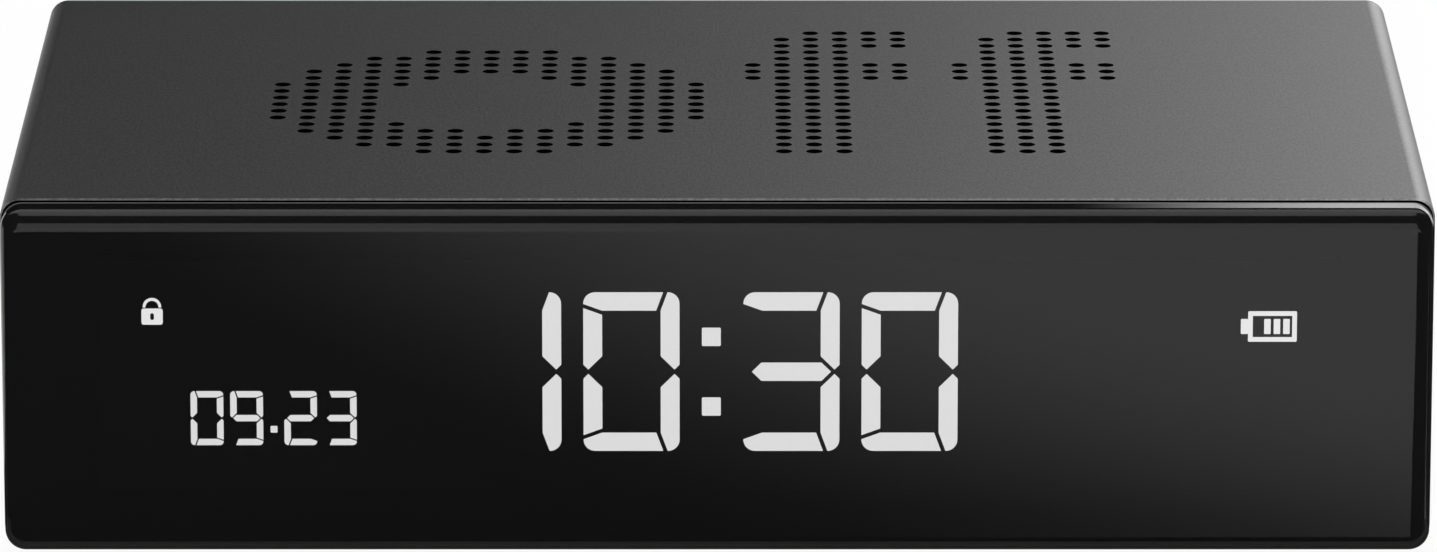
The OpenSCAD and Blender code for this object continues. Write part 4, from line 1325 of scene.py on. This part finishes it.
class ALARMCLOCK_OT_contacts(Operator):
    """Models the gilt contacts on the socket's tongue"""

    bl_idname = "alarmclock.contacts"
    bl_label = "Socket contacts"

    def execute(self, context):
        sizes = context.scene.clock_rear
        middle = (TONGUE_LOW + TONGUE_HIGH) / 2
        back, top = TONGUE_HIGH.y - sizes.contact_set_back, TONGUE_HIGH.z
        start = middle.x - (sizes.contact_count - 1) / 2 * sizes.contact_pitch
        half, rise = sizes.contact_width / 2, sizes.contact_depth / 2
        low = (start - half, back - sizes.contact_reach, top - rise)
        first = block("contact", low, (start + half, back, top + rise))
        round_edges(first, lambda edge: all(vert.co.z > top for vert in edge.verts), rise * 0.8, 2)
        flip = Matrix.Translation((0, 0, 2 * middle.z)) @ Matrix.Diagonal((1, 1, -1, 1))
        contacts = [first]
        for count in range(1, sizes.contact_count):
            contacts.append(twin(first, "contact", Matrix.Translation((count * sizes.contact_pitch, 0, 0))))
        contacts += [twin(contact, "contact", flip) for contact in contacts]
        piece = tidy_normals(join("socket_contacts", contacts))
        dress(piece, metal("gilt_contacts", context.scene.clock_colours.gold, 0.25, 0.08, 0.002))
        settle(piece, "housing", "socket_steel")
        return {"FINISHED"}


def card(name, corners, material):
    """A flat card that only reflections see."""
    clear_selection()
    bpy.ops.mesh.primitive_plane_add(size=1)
    piece = bpy.context.object
    piece.name = piece.data.name = name
    for vertex, corner in zip(piece.data.vertices, corners):
        vertex.co = corner
    piece.data.materials.append(material)
    piece.visible_camera = False
    piece.visible_diffuse = False
    piece.visible_shadow = False
    piece.visible_transmission = False


def upright_card(name, depth, left, right, bottom, top, material):
    """A card that stands across the view."""
    corners = [(left, depth, bottom), (right, depth, bottom), (left, depth, top), (right, depth, top)]
    card(name, corners, material)


def lying_card(name, height, left, right, front, back, material):
    """A card that lies over the floor."""
    corners = [(left, front, height), (right, front, height), (left, back, height), (right, back, height)]
    card(name, corners, material)


def seen(finish):
    """Two values: 1 for rays from the camera or through glass, and 1 for reflections."""
    camera = finish.add("ShaderNodeLightPath", output="Is Camera Ray")
    through_glass = finish.add("ShaderNodeLightPath", output="Is Transmission Ray")
    return camera.largest(through_glass), finish.add("ShaderNodeLightPath", output="Is Glossy Ray")


def growing(across, middle, growth, most):
    """Light that grows to the right at a rate per metre, up to a limit."""
    return ((across * growth).maths("EXPONENT") * middle).maths("MINIMUM", most)


class ALARMCLOCK_OT_stage(Operator):
    """Sets up the pale floor, the studio cards, the lamp, the world and the camera"""

    bl_idname = "alarmclock.stage"
    bl_label = "Stage"

    def execute(self, context):
        stage = context.scene.clock_stage
        self.make_world(stage)
        self.make_floor(context.scene.clock_colours)
        self.make_cards(stage)
        lamp = bpy.data.lights.new("overhead_lamp", "AREA")
        lamp.energy = stage.lamp_power
        lamp.size = stage.lamp_size
        shade = bpy.data.objects.new("overhead_lamp", lamp)
        shade.location = stage.lamp_place
        shade.visible_glossy = False
        shade.visible_camera = False
        context.scene.collection.objects.link(shade)
        view = bpy.data.cameras.new("camera")
        view.lens = stage.camera_lens
        view.sensor_width = 36
        view.clip_start = 0.01
        camera = bpy.data.objects.new("camera", view)
        camera.location = stage.camera_place
        camera.rotation_euler = (math.pi / 2 - stage.camera_fall, 0, 0)
        context.scene.collection.objects.link(camera)
        context.scene.camera = camera
        context.scene.view_settings.view_transform = "Standard"
        return {"FINISHED"}

    def make_world(self, stage):
        """White for the camera and for reflections, plain grey light for the rest."""
        world = bpy.data.worlds.new("studio")
        bpy.context.scene.world = world
        finish = Finish(world)
        straight, glossy = seen(finish)
        strength = stage.sky_light + straight.largest(glossy) * (1 - stage.sky_light)
        finish.show(finish.add("ShaderNodeBackground", None, {"Color": WHITE, "Strength": strength}))

    def make_floor(self, colours):
        """A pale floor that turns to white and keeps the clock's shadow."""
        clear_selection()
        level = -0.2 * MM
        bpy.ops.mesh.primitive_plane_add(size=12, location=(0, 0, level))
        floor = bpy.context.object
        floor.name = floor.data.name = "floor"
        finish = new_finish("pale_floor")
        across, along, _ = finish.axes()
        distance = (across * across + along * along).maths("SQRT")
        straight, glossy = seen(finish)
        away = finish.smoothstep(distance, 0.2, 0.45)
        pale = finish.tones(finish.noise(0.4), colours.floor, 0.99, 1.01)
        matte = finish.add("ShaderNodeBsdfDiffuse", None, {"Color": pale})
        white = finish.add("ShaderNodeEmission", None, {"Color": WHITE, "Strength": 1.0})
        share = straight * (0.95 + away * 0.05) + glossy * away
        lit_floor = finish.add("ShaderNodeMixShader", None, {0: share, 1: matte, 2: white})
        below = finish.add("ShaderNodeNewGeometry", output="Backfacing")
        clear = finish.add("ShaderNodeBsdfTransparent")
        material = finish.show(finish.add("ShaderNodeMixShader", None, {0: below, 1: lit_floor, 2: clear}))
        floor.data.materials.append(material)

    def make_cards(self, stage):
        """Cards that shape reflections: sharp ones those of the lens, soft ones those of satin surfaces."""
        near, far, wide, side, screen = LENS_LOW.y, -0.145, 1.2, 0.5, 0.13
        upper, level, lower = -0.03 * MM, -0.05 * MM, -0.1 * MM
        black = self.card_finish("black_card", True, 0.0)
        grey = self.card_finish("grey_card", True, 0.78)
        upright_card("front_flag", -0.315, -wide, wide, 0.0, 1.25, black)
        upright_card("front_screen", -0.314, -screen, screen, 0.0, 0.166, grey)
        upright_card("back_flag", 0.54, -wide, wide, 0.0, 0.6, black)
        rear, tall = 0.3, 2.4
        for name, across in (("left_flag", -side), ("right_flag", side)):
            card(name, [(across, along, up) for up in (0.0, tall) for along in (-wide, rear)], black)
        room = 0.5 * MM
        for name, left, right, front, back in (
            ("left_card", -side, SLEEVE_LOW.x - room, near - 1 * MM, -0.012),
            ("beside_card", SLEEVE_HIGH.x + room, side, near + 3.6 * MM, 0.12),
            ("left_front_card", -side, -screen, -wide, far),
            ("right_front_card", screen, side, -wide, far),
        ):
            lying_card(name, level, left, right, front, back, black)
        slanted = [(0.0656, far), (side, far), (0.0581, near), (side, near)]
        card("right_card", [(across, along, level) for across, along in slanted], black)

        def strip_share(finish):
            return finish.smoothstep(finish.axes()[0], 0.048, 0.094)

        bright = self.card_finish("bright_card", True, stage.card_light, strip_share)
        upright_card("bright_strip", 0.535, -wide, wide, 0.0, 0.21, bright)

        # Painted shadow: this card lays the clock's shadow on the floor that the lens mirrors, black to the
        # left and close to the face, clearing to the right and further out, a little lighter along the
        # lens's foot.
        def shade_share(finish):
            across, along, _ = finish.axes()
            forward = near - along
            foot = 1 - finish.smoothstep(forward, 0.0, 0.016)
            light = across * 7.9 + forward * 8.03 + across * forward * 48.9 + foot * 0.08
            return 1 - finish.smoothstep(light, 0.07, 1.07)

        shade = self.card_finish("floor_card", True, 0.0, shade_share)
        lying_card("floor_card", lower, -side, 0.072, far, near - 1 * MM, shade)

        # Painted reflection: the card gives the lens's bottom edge the lit floor in front of it, brightening
        # towards the lens's front, then dimming by 60 % beneath it as a painted contact shadow.
        def foot_light(finish):
            along, peak = finish.axes()[1], near + 0.2 * MM
            rise = finish.smoothstep(along, near - 1.3 * MM, peak)
            fall = finish.smoothstep(along, peak, near + 0.5 * MM)
            return rise * (1 - fall * 0.6) * 0.27

        foot = self.card_finish("foot_card", True, foot_light)
        lying_card("foot_card", upper, -0.07, 0.07, near - 4.6 * MM, near + 6 * MM, foot)

        def soft_light(finish):
            across, least = finish.axes()[0], 0.3
            rise = growing(across, stage.soft_light, stage.soft_growth, 2.5) - least
            middle = 1 - finish.smoothstep(across, 0.2, 0.3)
            left = finish.smoothstep(0 - across, 0.13, 0.22)
            return least + rise * middle + left * 0.22

        soft = self.card_finish("soft_card", False, soft_light)
        upright_card("soft_card", 0.545, -wide, wide, 0.0, 1.5, soft)

        def overhead_light(finish):
            return growing(finish.axes()[0], stage.overhead_light, stage.overhead_growth, 4.0)

        overhead = self.card_finish("overhead_card", False, overhead_light)
        lying_card("overhead_card", 1.0, -0.9, 0.9, -0.8, 0.25, overhead)

    def card_finish(self, name, sharp, strength, share=None):
        """A card's light, seen only in sharp or only in soft reflections."""
        finish = new_finish(name)
        singular = finish.add("ShaderNodeLightPath", output="Is Singular Ray")
        seen_share = singular if sharp else 1 - singular
        if share:
            seen_share = seen_share * share(finish)
        level = strength(finish) if callable(strength) else strength
        glow = finish.add("ShaderNodeEmission", None, {"Color": WHITE, "Strength": level})
        clear = finish.add("ShaderNodeBsdfTransparent")
        return finish.show(finish.add("ShaderNodeMixShader", None, {0: seen_share, 1: clear, 2: glow}))


class ALARMCLOCK_PT_sidebar(Panel):
    """Lists the steps that build the clock"""

    bl_idname = "ALARMCLOCK_PT_sidebar"
    bl_label = "Alarm clock"
    bl_space_type = "VIEW_3D"
    bl_region_type = "UI"
    bl_category = "Alarm clock"

    def draw(self, context):
        for step in STEPS:
            self.layout.operator(step.bl_idname)
        for name in GROUPS:
            group = getattr(context.scene, name)
            box = self.layout.box()
            for key in group.__annotations__:
                box.prop(group, key)


STEPS = (
    ALARMCLOCK_OT_finishes,
    ALARMCLOCK_OT_sleeve,
    ALARMCLOCK_OT_lens,
    ALARMCLOCK_OT_signs,
    ALARMCLOCK_OT_rear,
    ALARMCLOCK_OT_marks,
    ALARMCLOCK_OT_cover_marks,
    ALARMCLOCK_OT_contacts,
    ALARMCLOCK_OT_stage,
)
GROUPS = {
    "clock_lens": ClockLens,
    "clock_signs": ClockSigns,
    "clock_rear": ClockRear,
    "clock_colours": ClockColours,
    "clock_stage": ClockStage,
}


def register():
    """Registers the settings, steps and panel."""
    for name, group in GROUPS.items():
        bpy.utils.register_class(group)
        setattr(bpy.types.Scene, name, PointerProperty(type=group))
    for step in STEPS:
        bpy.utils.register_class(step)
    bpy.utils.register_class(ALARMCLOCK_PT_sidebar)


def unregister():
    """Takes the settings, steps and panel away again."""
    bpy.utils.unregister_class(ALARMCLOCK_PT_sidebar)
    for step in reversed(STEPS):
        bpy.utils.unregister_class(step)
    for name, group in GROUPS.items():
        delattr(bpy.types.Scene, name)
        bpy.utils.unregister_class(group)


def main():
    """Builds the clock step by step."""
    register()
    steps = bpy.ops.alarmclock
    steps.finishes()
    steps.sleeve()
    steps.lens()
    steps.signs()
    steps.rear()
    steps.marks()
    steps.cover_marks()
    steps.contacts()
    steps.stage()
    clear_selection()


if __name__ == "__main__":
    main()
